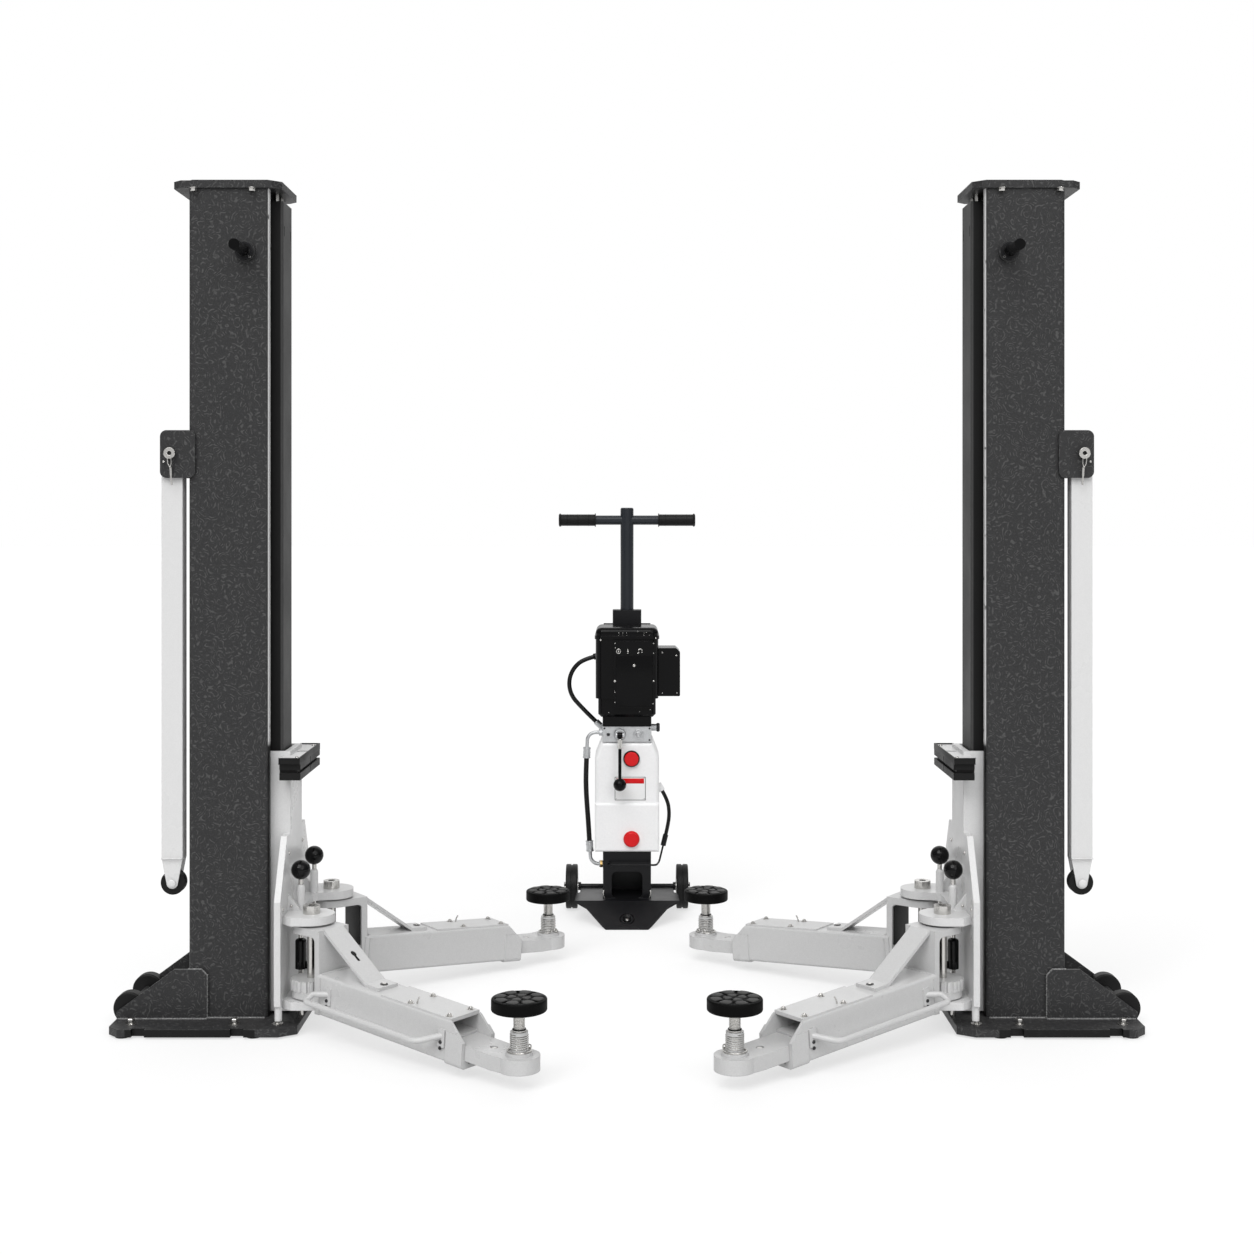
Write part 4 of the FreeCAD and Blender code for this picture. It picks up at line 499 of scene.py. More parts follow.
def add_lathe(mesh, profile, matrix, steps=24):
    """Turned solid from a profile that starts and ends on the axis or closes on itself."""
    rings = []
    for radius, height in profile:
        ring_turns = turns(steps) if radius else [0.0]
        rings.append([mesh.verts.new(matrix @ polar(radius, turn, height)) for turn in ring_turns])
    for low, high in zip(rings, rings[1:]):
        for step in range(steps):
            onward = (step + 1) % steps
            corners = [low[step % len(low)], low[onward % len(low)],
                       high[onward % len(high)], high[step % len(high)]]
            distinct = list(dict.fromkeys(corners))
            if len(distinct) > 2:
                mesh.faces.new(distinct)


def add_disc(mesh, radius, height, matrix, steps=24):
    """Plain stud or disc."""
    add_lathe(mesh, [(0, 0), (radius, 0), (radius, height), (0, height)], matrix, steps)


def add_hex(mesh, radius, height, matrix):
    """Hexagon head with a chamfered top."""
    profile = [(0, 0), (radius, 0), (radius, 0.78 * height), (0.86 * radius, height), (0, height)]
    add_lathe(mesh, profile, matrix, 6)


def add_washer(mesh, outer, inner, height, matrix):
    """Flat ring."""
    add_lathe(mesh, [(inner, 0), (outer, 0), (outer, height), (inner, height), (inner, 0)], matrix)


def add_bolt(mesh, radius, matrix):
    """Hexagon bolt on its washer, with the thread's end standing out of the head."""
    add_washer(mesh, 1.45 * radius, 0.5 * radius, 0.16 * radius, matrix)
    add_hex(mesh, radius, 0.62 * radius, matrix @ Matrix.Translation((0, 0, 0.16 * radius)))
    add_lathe(mesh, [(0, 0), (0.5 * radius, 0), (0.5 * radius, 0.98 * radius), (0.4 * radius, 1.1 * radius),
                     (0, 1.1 * radius)], matrix, 16)


def add_screw(mesh, radius, matrix):
    """Domed screw head with a socket."""
    shares = ((0, 0), (1, 0), (1, 0.25), (0.85, 0.55), (0.5, 0.72), (0.45, 0.72), (0.42, 0.3), (0, 0.3))
    add_lathe(mesh, [(out * radius, up * radius) for out, up in shares], matrix, 18)


def add_tube(mesh, points, radius, steps=8, closed=False, ripple=0.0):
    """Round bar along points, with its radius rising and falling from point to point if rippled."""
    points = [Vector(point) for point in points]
    count = len(points)
    side = Vector((0, 0, 1))
    rings = []
    for number, point in enumerate(points):
        before = points[(number - 1) % count] if closed or number > 0 else point
        after = points[(number + 1) % count] if closed or number < count - 1 else point
        along = (after - before).normalized()
        side = side - along * side.dot(along)
        if side.length < 1e-4:
            side = along.orthogonal()
        side.normalize()
        up = along.cross(side)
        wide = radius * (1 + ripple * math.cos(math.pi * number))
        rings.append([mesh.verts.new(point + (side * math.cos(turn) + up * math.sin(turn)) * wide)
                      for turn in turns(steps)])
    add_skin(mesh, rings, closed)


def add_weld(mesh, corners, radius=WELD_RADIUS):
    """Rippled weld bead along straight runs between corners."""
    points = []
    for start, end in zip(corners, corners[1:]):
        start, end = Vector(start), Vector(end)
        steps = max(2, round((end - start).length / (WELD_PITCH / 2)))
        points += [start.lerp(end, step / steps) for step in range(steps)]
    points.append(Vector(corners[-1]))
    add_tube(mesh, points, radius, steps=7, ripple=WELD_RIPPLE)


def add_thread(mesh, radius, depth, pitch, low, high, matrix, steps=24):
    """Helical ridge round an upright screw."""
    rings = []
    for number in range(int((high - low) / pitch * steps) + 1):
        turn = 2 * math.pi * number / steps
        middle = low + pitch * number / steps
        rings.append([mesh.verts.new(matrix @ polar(radius + out * depth, turn, middle + shift * pitch))
                      for out, shift in THREAD_SECTION])
    add_skin(mesh, rings)


def add_block(mesh, low, high, matrix=Matrix.Identity(4), bevel=0.0):
    """Block between two corners, with its edges cut if a bevel is given."""
    made = bmesh.ops.create_cube(mesh, size=1.0)
    low, high = Vector(low), Vector(high)
    size = high - low
    place = Matrix.Translation((low + high) / 2) @ Matrix.Diagonal((*size, 1.0))
    for vertex in made["verts"]:
        vertex.co = place @ vertex.co
    if bevel:
        edges = list({edge for vertex in made["verts"] for edge in vertex.link_edges})
        bevelled = bmesh.ops.bevel(mesh, geom=edges, offset=bevel, segments=2, affect="EDGES", profile=0.7)
        moved = {vertex for face in bevelled["faces"] for vertex in face.verts}
        moved |= {vertex for vertex in made["verts"] if vertex.is_valid}
    else:
        moved = set(made["verts"])
    for vertex in moved:
        vertex.co = matrix @ vertex.co


def piece(name, mesh, material, body, place=Matrix.Identity(4)):
    """Finish a mesh as one piece of the object, put in place, that moves with its body."""
    bmesh.ops.transform(mesh, matrix=place, verts=mesh.verts)
    bmesh.ops.recalc_face_normals(mesh, faces=mesh.faces)
    data = bpy.data.meshes.new(name)
    mesh.to_mesh(data)
    mesh.free()
    data.shade_smooth()
    data.set_sharp_from_angle(angle=math.radians(SHARP_ANGLE))
    data.materials.append(material)
    made = bpy.data.objects.new(name, data)
    bpy.context.scene.collection.objects.link(made)
    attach(made, body)


def new_node(tree, kind, **settings):
    """A node of the tree with its settings."""
    node = tree.nodes.new(kind)
    for name, value in settings.items():
        setattr(node, name, value)
    return node


def feed(tree, source, *targets):
    """Link one output, or a plain value, to one or more inputs."""
    for target in targets:
        if isinstance(source, bpy.types.NodeSocket):
            tree.links.new(source, target)
        else:
            target.default_value = source


def maths(tree, operation, *values, clamp=False):
    """Output of a Math node."""
    node = new_node(tree, "ShaderNodeMath", operation=operation, use_clamp=clamp)
    for value, target in zip(values, node.inputs):
        feed(tree, value, target)
    return node.outputs[0]


def times(tree, first, *others):
    """Product of two or more values."""
    for other in others:
        first = maths(tree, "MULTIPLY", first, other)
    return first


def blended(tree, share, first, second):
    """Output of a colour mix between two colours."""
    node = new_node(tree, "ShaderNodeMix", data_type="RGBA")
    colour_inputs = [socket for socket in node.inputs if socket.type == "RGBA"]
    feed(tree, share, node.inputs["Factor"])
    for value, target in zip((first, second), colour_inputs):
        feed(tree, value if isinstance(value, bpy.types.NodeSocket) else (*value, 1), target)
    return next(socket for socket in node.outputs if socket.type == "RGBA")


def between(tree, share, first, second):
    """Plain number between two numbers."""
    node = new_node(tree, "ShaderNodeMix", data_type="FLOAT")
    feed(tree, share, node.inputs["Factor"])
    feed(tree, first, node.inputs["A"])
    feed(tree, second, node.inputs["B"])
    return node.outputs["Result"]


def noise(tree, place, size, detail=2.0, roughness=0.5):
    """Noise with features of about the given size in metres."""
    node = new_node(tree, "ShaderNodeTexNoise")
    node.inputs["Detail"].default_value = detail
    node.inputs["Roughness"].default_value = roughness
    scale = 1.0 / size if isinstance(size, float) else maths(tree, "DIVIDE", 1.0, size)
    feed(tree, place, node.inputs["Vector"])
    feed(tree, scale, node.inputs["Scale"])
    return node.outputs["Fac"]


def graded(tree, value, low, high):
    """The value stretched so that low becomes 0 and high becomes 1."""
    node = new_node(tree, "ShaderNodeMapRange", interpolation_type="SMOOTHSTEP")
    feed(tree, value, node.inputs["Value"])
    node.inputs["From Min"].default_value = low
    node.inputs["From Max"].default_value = high
    return node.outputs["Result"]


def new_group(name, inputs, outputs):
    """An empty node group with named sockets: (name, kind, default) in, (name, kind) out."""
    group = bpy.data.node_groups.new(name, "ShaderNodeTree")
    for title, kind, default in inputs:
        socket = group.interface.new_socket(title, in_out="INPUT", socket_type="NodeSocket" + kind)
        socket.default_value = default
    for title, kind in outputs:
        group.interface.new_socket(title, in_out="OUTPUT", socket_type="NodeSocket" + kind)
    return group, group.nodes.new("NodeGroupInput").outputs, group.nodes.new("NodeGroupOutput").inputs


def placed(tree, group, **values):
    """A group in a material, with its own values."""
    node = new_node(tree, "ShaderNodeGroup", node_tree=group)
    for name, value in values.items():
        feed(tree, value, node.inputs[name.replace("_", " ")])
    return node.outputs


def surface_place(tree):
    """The surface's own place in the frame."""
    return new_node(tree, "ShaderNodeTexCoord").outputs["Object"]


def edge_group():
    """Softened edges, and a patchy mask where they are rubbed."""
    group, given, out = new_group("rubbed edges", [("Radius", "Float", 0.002), ("Patch Size", "Float", 0.02)],
                                  [("Normal", "Vector"), ("Rubbed", "Float")])
    bevel = new_node(group, "ShaderNodeBevel", samples=4)
    feed(group, given["Radius"], bevel.inputs["Radius"])
    true_normal = new_node(group, "ShaderNodeNewGeometry").outputs["Normal"]
    facing = new_node(group, "ShaderNodeVectorMath", operation="DOT_PRODUCT")
    feed(group, bevel.outputs["Normal"], facing.inputs[0])
    feed(group, true_normal, facing.inputs[1])
    turned = graded(group, maths(group, "SUBTRACT", 1.0, facing.outputs["Value"]), 0.02, 0.16)
    cloud = noise(group, surface_place(group), given["Patch Size"], detail=5.0, roughness=0.65)
    feed(group, bevel.outputs["Normal"], out["Normal"])
    feed(group, times(group, turned, graded(group, cloud, 0.50, 0.66)), out["Rubbed"])
    return group


def grain_group():
    """Fine grain of a textured coat: its height, and how much it darkens the hollows."""
    group, given, out = new_group("coat grain", [("Grain Size", "Float", 0.002)],
                                  [("Height", "Float"), ("Tone", "Float")])
    place = surface_place(group)
    fine = noise(group, place, given["Grain Size"], detail=3.0, roughness=0.6)
    coarse = noise(group, place, times(group, given["Grain Size"], 4.0))
    height = maths(group, "ADD", times(group, fine, 0.8), times(group, coarse, 0.2))
    feed(group, height, out["Height"])
    feed(group, graded(group, height, 0.30, 0.70), out["Tone"])
    return group


def wrinkle_group():
    """Short curled ridges of a wrinkled coat, lighter than the ground between them."""
    group, given, out = new_group("wrinkled coat", [("Grain Size", "Float", 0.002)],
                                  [("Height", "Float"), ("Tone", "Float")])
    place = surface_place(group)
    swirl = noise(group, place, times(group, given["Grain Size"], SWIRL_SIZE), detail=0.6, roughness=0.4)
    bands = maths(group, "PINGPONG", times(group, swirl, SWIRL_BANDS), 0.5)
    ridges = graded(group, bands, 0.24, 0.46)
    breaks = noise(group, place, times(group, given["Grain Size"], BREAK_SIZE))
    fine = noise(group, place, given["Grain Size"], detail=3.0, roughness=0.6)
    drawn = times(group, ridges, graded(group, breaks, 0.44, 0.60))
    speckle = graded(group, fine, 0.38, 0.80)
    height = maths(group, "MULTIPLY_ADD", fine, 0.5, times(group, drawn, 0.7))
    tone = maths(group, "MULTIPLY_ADD", speckle, 0.30, times(group, drawn, 0.80), clamp=True)
    feed(group, height, out["Height"])
    feed(group, tone, out["Tone"])
    return group


def band_group():
    """Mask of 1 where one coordinate, taken without its sign, lies in a band."""
    group, given, out = new_group("band mask", [("Value", "Float", 0.0), ("Low", "Float", 0.0),
                                                ("High", "Float", 1.0), ("Softness", "Float", 0.0005)],
                                  [("Mask", "Float")])
    size = maths(group, "ABSOLUTE", given["Value"])
    over = maths(group, "SUBTRACT", size, given["Low"])
    under = maths(group, "SUBTRACT", given["High"], size)
    shares = [maths(group, "DIVIDE", distance, given["Softness"], clamp=True) for distance in (over, under)]
    feed(group, times(group, *shares), out["Mask"])
    return group


def soiling_group():
    """Dust that settles on upward faces, and broad smudges."""
    group, given, out = new_group("dust and smudges", [("Dust", "Float", 0.3)],
                                  [("Dust", "Float"), ("Smudge", "Float")])
    coordinates = new_node(group, "ShaderNodeTexCoord").outputs
    upward = new_node(group, "ShaderNodeSeparateXYZ")
    feed(group, coordinates["Normal"], upward.inputs[0])
    settled = graded(group, upward.outputs["Z"], 0.35, 1.0)
    cloud = noise(group, coordinates["Object"], 0.09, detail=6.0, roughness=0.6)
    smudge = noise(group, coordinates["Object"], 0.16, detail=5.0, roughness=0.55)
    feed(group, times(group, settled, graded(group, cloud, 0.38, 0.72), given["Dust"]), out["Dust"])
    feed(group, graded(group, smudge, 0.32, 0.70), out["Smudge"])
    return group


def surface_axes(tree):
    """X, Y and Z of the surface's own place."""
    split = new_node(tree, "ShaderNodeSeparateXYZ")
    feed(tree, surface_place(tree), split.inputs[0])
    return split.outputs


def in_band(tree, value, band, softness=0.0005):
    """Mask of 1 where the value, without its sign, lies in the band."""
    return placed(tree, band_mask, Value=value, Low=band[0], High=band[1], Softness=softness)["Mask"]


def lock_foot(tree):
    """Mask of the locks' black balls, and of their sleeves and pawls."""
    height = surface_axes(tree)["Z"]
    ball, foot = [in_band(tree, height, band) for band in (LOCK_BALL_BAND, LOCK_FOOT_BAND)]
    return maths(tree, "MAXIMUM", ball, foot)


def column_lip(tree):
    """Mask of the column's inner lips beside its opening, and the height."""
    axes = surface_axes(tree)
    from_line = maths(tree, "SUBTRACT", axes["Y"], post_line_y)
    fold = in_band(tree, axes["X"], LIP_FOLD_BAND, 0.0006)
    return times(tree, fold, in_band(tree, from_line, LIP_SIDE_BAND)), axes["Z"]


def lip_painted_highlight(tree):
    """Mask of the lips over the carriage, lightened as a painted highlight on the fold and broken in patches.
    """
    lip, height = column_lip(tree)
    over = graded(tree, height, LIP_SPLIT - LIP_BLEND, LIP_SPLIT + LIP_BLEND)
    highlight_breaks = noise(tree, surface_place(tree), LIP_HIGHLIGHT_BREAK_SIZE)
    return times(tree, lip, over, graded(tree, highlight_breaks, 0.24, 0.36))


def lip_painted_shade(tree):
    """Mask of the lips beside the carriage, painted black as the shade between the column and the carriage.
    """
    lip, height = column_lip(tree)
    return times(tree, lip, graded(tree, height, LIP_SPLIT, LIP_SPLIT - LIP_BLEND))


def cover_side_shade(tree):
    """Mask of the cover's sides in the column's opening, painted black as the shade on them."""
    return graded(tree, maths(tree, "ABSOLUTE", surface_axes(tree)["X"]), *COVER_SIDE_BAND)


def cover_stud(tree):
    """Mask of the bright studs between the cover and the cap."""
    return graded(tree, surface_axes(tree)["Z"], *COVER_STUD_BAND)


def base_pocket_shade(tree):
    """Mask of the pockets in the base plate's near and far edges, painted black as the shade in them."""
    axes = surface_axes(tree)
    from_line = maths(tree, "SUBTRACT", axes["Y"], post_line_y)
    inner = in_band(tree, from_line, POCKET_ACROSS_BAND)
    along = in_band(tree, axes["X"], POCKET_ALONG_BAND)
    return times(tree, inner, along, in_band(tree, axes["Z"], POCKET_UP_BAND))


def wheel_disc(tree):
    """Mask of the trolley wheels' pale side faces inside their treads."""
    axes = surface_axes(tree)
    across = maths(tree, "SUBTRACT", axes["Y"], TROLLEY_Y + AXLE_Y)
    up = maths(tree, "SUBTRACT", axes["Z"], AXLE_Z)
    radius = maths(tree, "SQRT", maths(tree, "ADD", times(tree, across, across), times(tree, up, up)))
    return in_band(tree, radius, (0.0, WHEEL_DISC_RADIUS), 0.0008)


def finish_material(name, colour, under, roughness, metallic=0.0, tone=0.12, grain=0.002, depth=0.0002,
                    edge=0.002, patch=0.02, rubbed=0.6, dust=0.25, gloss_change=0.12, texture=None,
                    raised=None, specular=0.5, inlays=()):
    """A coated, moulded or machined surface with grain, rubbed edges, dust and smudges.

    Each inlay is (mask maker, colour, roughness, metallic) for an area with a finish of its own, or with a
    painted highlight or painted shade.
    """
    material = bpy.data.materials.new(name)
    material.use_nodes = True
    tree = material.node_tree
    shader = tree.nodes["Principled BSDF"]
    grains = placed(tree, texture or coat_grain, Grain_Size=grain)
    edges = placed(tree, rubbed_edges, Radius=edge, Patch_Size=patch)
    soil = placed(tree, dust_and_smudges, Dust=dust)
    bare = times(tree, edges["Rubbed"], rubbed)
    dark = tuple(part * (1.0 - tone) for part in colour)
    light = raised or tuple(min(1.0, part * (1.0 + tone)) for part in colour)
    toned = blended(tree, grains["Tone"], dark, light)
    dusty = blended(tree, soil["Dust"], toned, DUST)
    worn = blended(tree, bare, dusty, under)
    spread = maths(tree, "MULTIPLY_ADD", soil["Smudge"], gloss_change, roughness - gloss_change / 2)
    dulled = maths(tree, "MULTIPLY_ADD", soil["Dust"], DUST_DULLING, spread, clamp=True)
    metal = metallic
    for make_mask, inlay_colour, inlay_roughness, inlay_metallic in inlays:
        mask = make_mask(tree)
        change = maths(tree, "MULTIPLY_ADD", soil["Smudge"], gloss_change, inlay_roughness - gloss_change / 2)
        worn = blended(tree, mask, worn, blended(tree, soil["Dust"], inlay_colour, DUST))
        dulled = between(tree, mask, dulled, change)
        if inlay_metallic != metallic:
            metal = between(tree, mask, metal, inlay_metallic)
    feed(tree, metal, shader.inputs["Metallic"])
    feed(tree, worn, shader.inputs["Base Color"])
    feed(tree, dulled, shader.inputs["Roughness"])
    feed(tree, specular, shader.inputs["Specular IOR Level"])
    bump = new_node(tree, "ShaderNodeBump")
    feed(tree, depth, bump.inputs["Distance"])
    feed(tree, 1.0, bump.inputs["Strength"])
    feed(tree, grains["Height"], bump.inputs["Height"])
    feed(tree, edges["Normal"], bump.inputs["Normal"])
    feed(tree, bump.outputs["Normal"], shader.inputs["Normal"])
    return material


post_line_y = mid("left_column").y
make_camera()
rubbed_edges = edge_group()
coat_grain = grain_group()
wrinkled_coat = wrinkle_group()
band_mask = band_group()
dust_and_smudges = soiling_group()

# Traits that several finishes share
wrinkled = dict(grain=0.0024, depth=0.0006, rubbed=0.8, texture=wrinkled_coat, raised=CHARCOAL_WRINKLE,
                specular=0.25)
enamelled = dict(grain=0.0025, rubbed=0.30, gloss_change=0.16)
turned_metal = dict(metallic=1.0, tone=0.10, grain=0.0012, edge=0.0008)
rubbery = dict(tone=0.25, grain=0.0016, depth=0.0002)

charcoal_coat = finish_material("charcoal wrinkle coat", CHARCOAL, PRIMER, 0.52, dust=0.05, **wrinkled)
# The base plate's pockets carry painted shade.
base_coat = finish_material(
    "charcoal wrinkle coat on the base", CHARCOAL, PRIMER, 0.46, dust=0.04,
    inlays=((base_pocket_shade, PAINTED_SHADE_BLACK, 0.5, 0.0),), **wrinkled)
# The column's lips carry a painted highlight over the carriage and painted shade beside it.
column_coat = finish_material(
    "charcoal wrinkle coat on the column", CHARCOAL, PRIMER, 0.52, dust=0.05,
    inlays=((lip_painted_highlight, LIP_PAINTED_HIGHLIGHT, 0.25, 0.0), (lip_painted_shade, PAINTED_SHADE_BLACK, 0.5, 0.0)), **wrinkled)
# The welds' coat is charcoal lightened with painted highlights, brightest on its rubbed ridges.
weld_coat_with_highlights = finish_material(
    "charcoal weld coat with painted highlights", WELD_HIGHLIGHT_GREY, WORN_WHITE_AND_WELD_HIGHLIGHT, 0.26, tone=0.7, grain=0.0030, depth=0.0003,
    edge=0.0012, patch=0.010, rubbed=0.9, dust=0.02)
# The cover's sides carry painted shade.
cover_coat = finish_material(
    "grey cover coat", COVER_GREY, PRIMER, 0.58, tone=0.14, grain=0.003, dust=0.05, specular=0.3,
    inlays=((cover_side_shade, PAINTED_SHADE_BLACK, 0.6, 0.0), (cover_stud, STEEL, 0.25, 1.0)))
silver_coat = finish_material(
    "silver enamel", SILVER, PRIMER, 0.34, tone=0.05, depth=0.00014, dust=0.06, **enamelled)
carriage_coat = finish_material(
    "silver enamel on the carriage", CARRIAGE_SILVER, PRIMER, 0.34, tone=0.05, depth=0.00014, dust=0.06,
    **enamelled)
leg_coat = finish_material(
    "pale leg enamel", LEG_SILVER, PRIMER, 0.34, tone=0.03, depth=0.0001, dust=0.05, **enamelled)
bright_steel = finish_material(
    "turned steel", STEEL, WORN_STEEL, 0.22, depth=0.00005, rubbed=0.5, dust=0.04, **turned_metal)
lock_steel = finish_material(
    "turned steel with a black ball and pawl", STEEL, WORN_STEEL, 0.24, depth=0.00004, rubbed=0.4,
    dust=0.02, gloss_change=0.06, specular=0.2, inlays=((lock_foot, BLACK_PLASTIC, 0.10, 0.0),),
    **turned_metal)
brass = finish_material(
    "brass", BRASS, WORN_BRASS, 0.30, depth=0.00005, rubbed=0.4, dust=0.05, **turned_metal)
dark_steel = finish_material(
    "blackened steel", BLACKENED_STEEL, STEEL, 0.35, metallic=0.6, tone=0.2, grain=0.0012, depth=0.00008,
    edge=0.0008, rubbed=0.5, dust=0.03)
cast_aluminium = finish_material(
    "cast aluminium", ALUMINIUM, STEEL, 0.42, metallic=1.0, grain=0.0018, dust=0.04)
glossy_plastic = finish_material(
    "black gloss plastic", BLACK_PLASTIC, WORN_BLACK, 0.17, tone=0.10, depth=0.00005, rubbed=0.5,
    dust=0.01, specular=0.12)
satin_black = finish_material(
    "satin black coat", SATIN_BLACK, PRIMER, 0.36, tone=0.2, grain=0.0025, rubbed=0.4, dust=0.02,
    specular=0.22)
handle_coat = finish_material(
    "blue black handle coat", HANDLE_BLACK, PRIMER, 0.33, grain=0.0025, depth=0.00008, rubbed=0.5,
    dust=0.02, specular=0.3)
black_rubber = finish_material(
    "black rubber", BLACK_RUBBER, WORN_BLACK, 0.50, rubbed=0.5, dust=0.04, specular=0.2, **rubbery)
wheel_rubber = finish_material(
    "wheel rubber with pale discs", BLACK_RUBBER, WORN_BLACK, 0.50, rubbed=0.5, dust=0.04, specular=0.2,
    inlays=((wheel_disc, WHEEL_DISC, 0.45, 0.0),), **rubbery)
pad_rubber = finish_material(
    "pad rubber", PAD_RUBBER, WORN_PAD, 0.55, rubbed=0.4, dust=0.0, specular=0.08, **rubbery)
tread_rubber = finish_material(
    "worn tread rubber", TREAD_RUBBER, WORN_TREAD, 0.55, rubbed=0.6, dust=0.06, specular=0.25, **rubbery)
hose_rubber = finish_material(
    "black hose rubber", BLACK_RUBBER, WORN_BLACK, 0.26, tone=0.2, grain=0.0012, depth=0.0001, rubbed=0.2,
    dust=0.02, specular=0.25)
tank_plastic = finish_material(
    "white tank plastic", TANK_WHITE, TANK_WHITE, 0.34, tone=0.02, grain=0.006, depth=0.0003, rubbed=0.0,
    dust=0.03)
cap_plastic = finish_material(
    "red cap plastic", CAP_RED, WORN_RED, 0.22, tone=0.06, depth=0.00008, rubbed=0.3, dust=0.01,
    specular=0.25)
plate_enamel = finish_material(
    "white plate enamel", PLATE_WHITE, WORN_WHITE_AND_WELD_HIGHLIGHT, 0.30, tone=0.03, depth=0.00003, rubbed=0.1, dust=0.02)

POST_FINISH = {
    "base": base_coat, "base_rollers": black_rubber, "column": column_coat, "cap_plate": charcoal_coat,
    "cover": cover_coat, "cylinder": bright_steel, "leg_bracket": charcoal_coat, "leg": leg_coat,
    "leg_wheel": black_rubber, "safety_knob": glossy_plastic, "carriage": carriage_coat,
    "door_guard": black_rubber, "arm_pins": bright_steel,
}
ARM_FINISH = {"arm": silver_coat, "extension": silver_coat, "pad_screw": bright_steel, "pad": pad_rubber,
              "lock": lock_steel}
TROLLEY_FINISH = {
    "trolley_frame": satin_black, "handle": handle_coat, "handle_grips": black_rubber,
    "motor": glossy_plastic, "terminal_box": glossy_plastic, "valve_block": cast_aluminium,
    "tank": tank_plastic, "tank_caps": cap_plastic, "control_lever": glossy_plastic,
    "trolley_wheel_left": wheel_rubber, "trolley_wheel_right": wheel_rubber,
}


def finish_nodes():
    """Give every CAD node but the hoses its material."""
    finishes = dict(TROLLEY_FINISH)
    for side in SIDES:
        finishes.update({f"{side}_{name}": material for name, material in POST_FINISH.items()})
        for row in ROWS:
            finishes.update({f"{side}_{row}_{name}": material for name, material in ARM_FINISH.items()})
    for name, material in finishes.items():
        for slot in frame["nodes"][name].material_slots:
            slot.material = material


def make_floor():
    """Wide pale floor that stays near white for the camera and keeps the shadows."""
    mesh = bpy.data.meshes.new("studio floor")
    half = FLOOR_SIZE / 2
    corners = [(-half, -half, 0), (half, -half, 0), (half, half, 0), (-half, half, 0)]
    mesh.from_pydata(corners, [], [(0, 1, 2, 3)])
    floor = bpy.data.objects.new("studio_floor", mesh)
    bpy.context.scene.collection.objects.link(floor)
    material = bpy.data.materials.new("studio floor")
    material.use_nodes = True
    tree = material.node_tree
    tree.nodes.remove(tree.nodes["Principled BSDF"])
    paths = new_node(tree, "ShaderNodeLightPath").outputs
    seen = maths(tree, "ADD", paths["Is Camera Ray"], paths["Is Glossy Ray"], clamp=True)
    seen = maths(tree, "ADD", seen, paths["Is Transmission Ray"], clamp=True)
    plain, shaded = [new_node(tree, "ShaderNodeBsdfDiffuse") for _ in range(2)]
    feed(tree, (*FLOOR_COLOUR, 1), plain.inputs["Color"])
    feed(tree, (*FLOOR_SHADED, 1), shaded.inputs["Color"])
    glow = new_node(tree, "ShaderNodeEmission")
    feed(tree, FLOOR_GLOW, glow.inputs["Strength"])
    bright = new_node(tree, "ShaderNodeAddShader")
    feed(tree, shaded.outputs[0], bright.inputs[0])
    feed(tree, glow.outputs[0], bright.inputs[1])
    mix = new_node(tree, "ShaderNodeMixShader")
    for number, source in enumerate((seen, plain.outputs[0], bright.outputs[0])):
        feed(tree, source, mix.inputs[number])
    feed(tree, mix.outputs[0], tree.nodes["Material Output"].inputs["Surface"])
    mesh.materials.append(material)


def make_light():
    """Pale sky, white to the camera, with three broad suns and two small windows."""
    world = bpy.data.worlds.new("studio")
    world.use_nodes = True
    bpy.context.scene.world = world
    tree = world.node_tree
    paths = new_node(tree, "ShaderNodeLightPath").outputs
    seen = maths(tree, "ADD", paths["Is Camera Ray"], paths["Is Transmission Ray"], clamp=True)
    background = tree.nodes["Background"]
    direction = new_node(tree, "ShaderNodeSeparateXYZ")
    feed(tree, new_node(tree, "ShaderNodeTexCoord").outputs["Generated"], direction.inputs[0])
    overhead = maths(tree, "MAXIMUM", direction.outputs["Z"], 0.0)
    ends = times(tree, direction.outputs["Y"], direction.outputs["Y"])
    level = maths(tree, "MULTIPLY_ADD", ends, SKY_ENDS, SKY_LEVEL)
    sky = maths(tree, "MULTIPLY_ADD", overhead, SKY_OVERHEAD, level)
    feed(tree, between(tree, seen, sky, 1.0), background.inputs["Strength"])
    feed(tree, (1, 1, 1, 1), background.inputs["Color"])
    for name, strength, tilt, turn, width in LAMPS:
        lamp = bpy.data.lights.new(name + " light", "SUN")
        lamp.energy = strength
        lamp.angle = math.radians(width)
        holder = bpy.data.objects.new(name + " light", lamp)
        holder.rotation_euler = (math.radians(tilt), 0, math.radians(turn))
        bpy.context.scene.collection.objects.link(holder)


def post_space(side):
    """Matrix from the left post's own measures to the frame, mirrored for the right one."""
    along = Matrix.Translation((0, post_line_y, 0))
    return along if side == "left" else Matrix.Diagonal((-1, 1, 1, 1)) @ along


def arm_space(side, row):
    """Matrices of an arm at rest: level about its pivot, and leaning with its box."""
    reach = Vector(JOINTS[f"{side}_{row}_reach"]["axis"])
    forward = Vector((reach.x, reach.y, 0)).normalized()
    across = Vector((-forward.y, forward.x, 0))
    if across.y * forward.y > 0:
        across = -across
    pivot = JOINTS[f"{side}_{row}_swing"]["pos_m"]
    level = Matrix.Identity(4)
    for column, vector in enumerate((forward, across, Vector((0, 0, 1)), Vector((pivot[0], pivot[1], 0)))):
        for line in range(3):
            level[line][column] = vector[line]
    corner = Vector((BOX_START, 0, BOX_LOW))
    lean = Matrix.Rotation(math.asin(-reach.z), 4, "Y")
    return level, level @ Matrix.Translation(corner) @ lean @ Matrix.Translation(-corner)


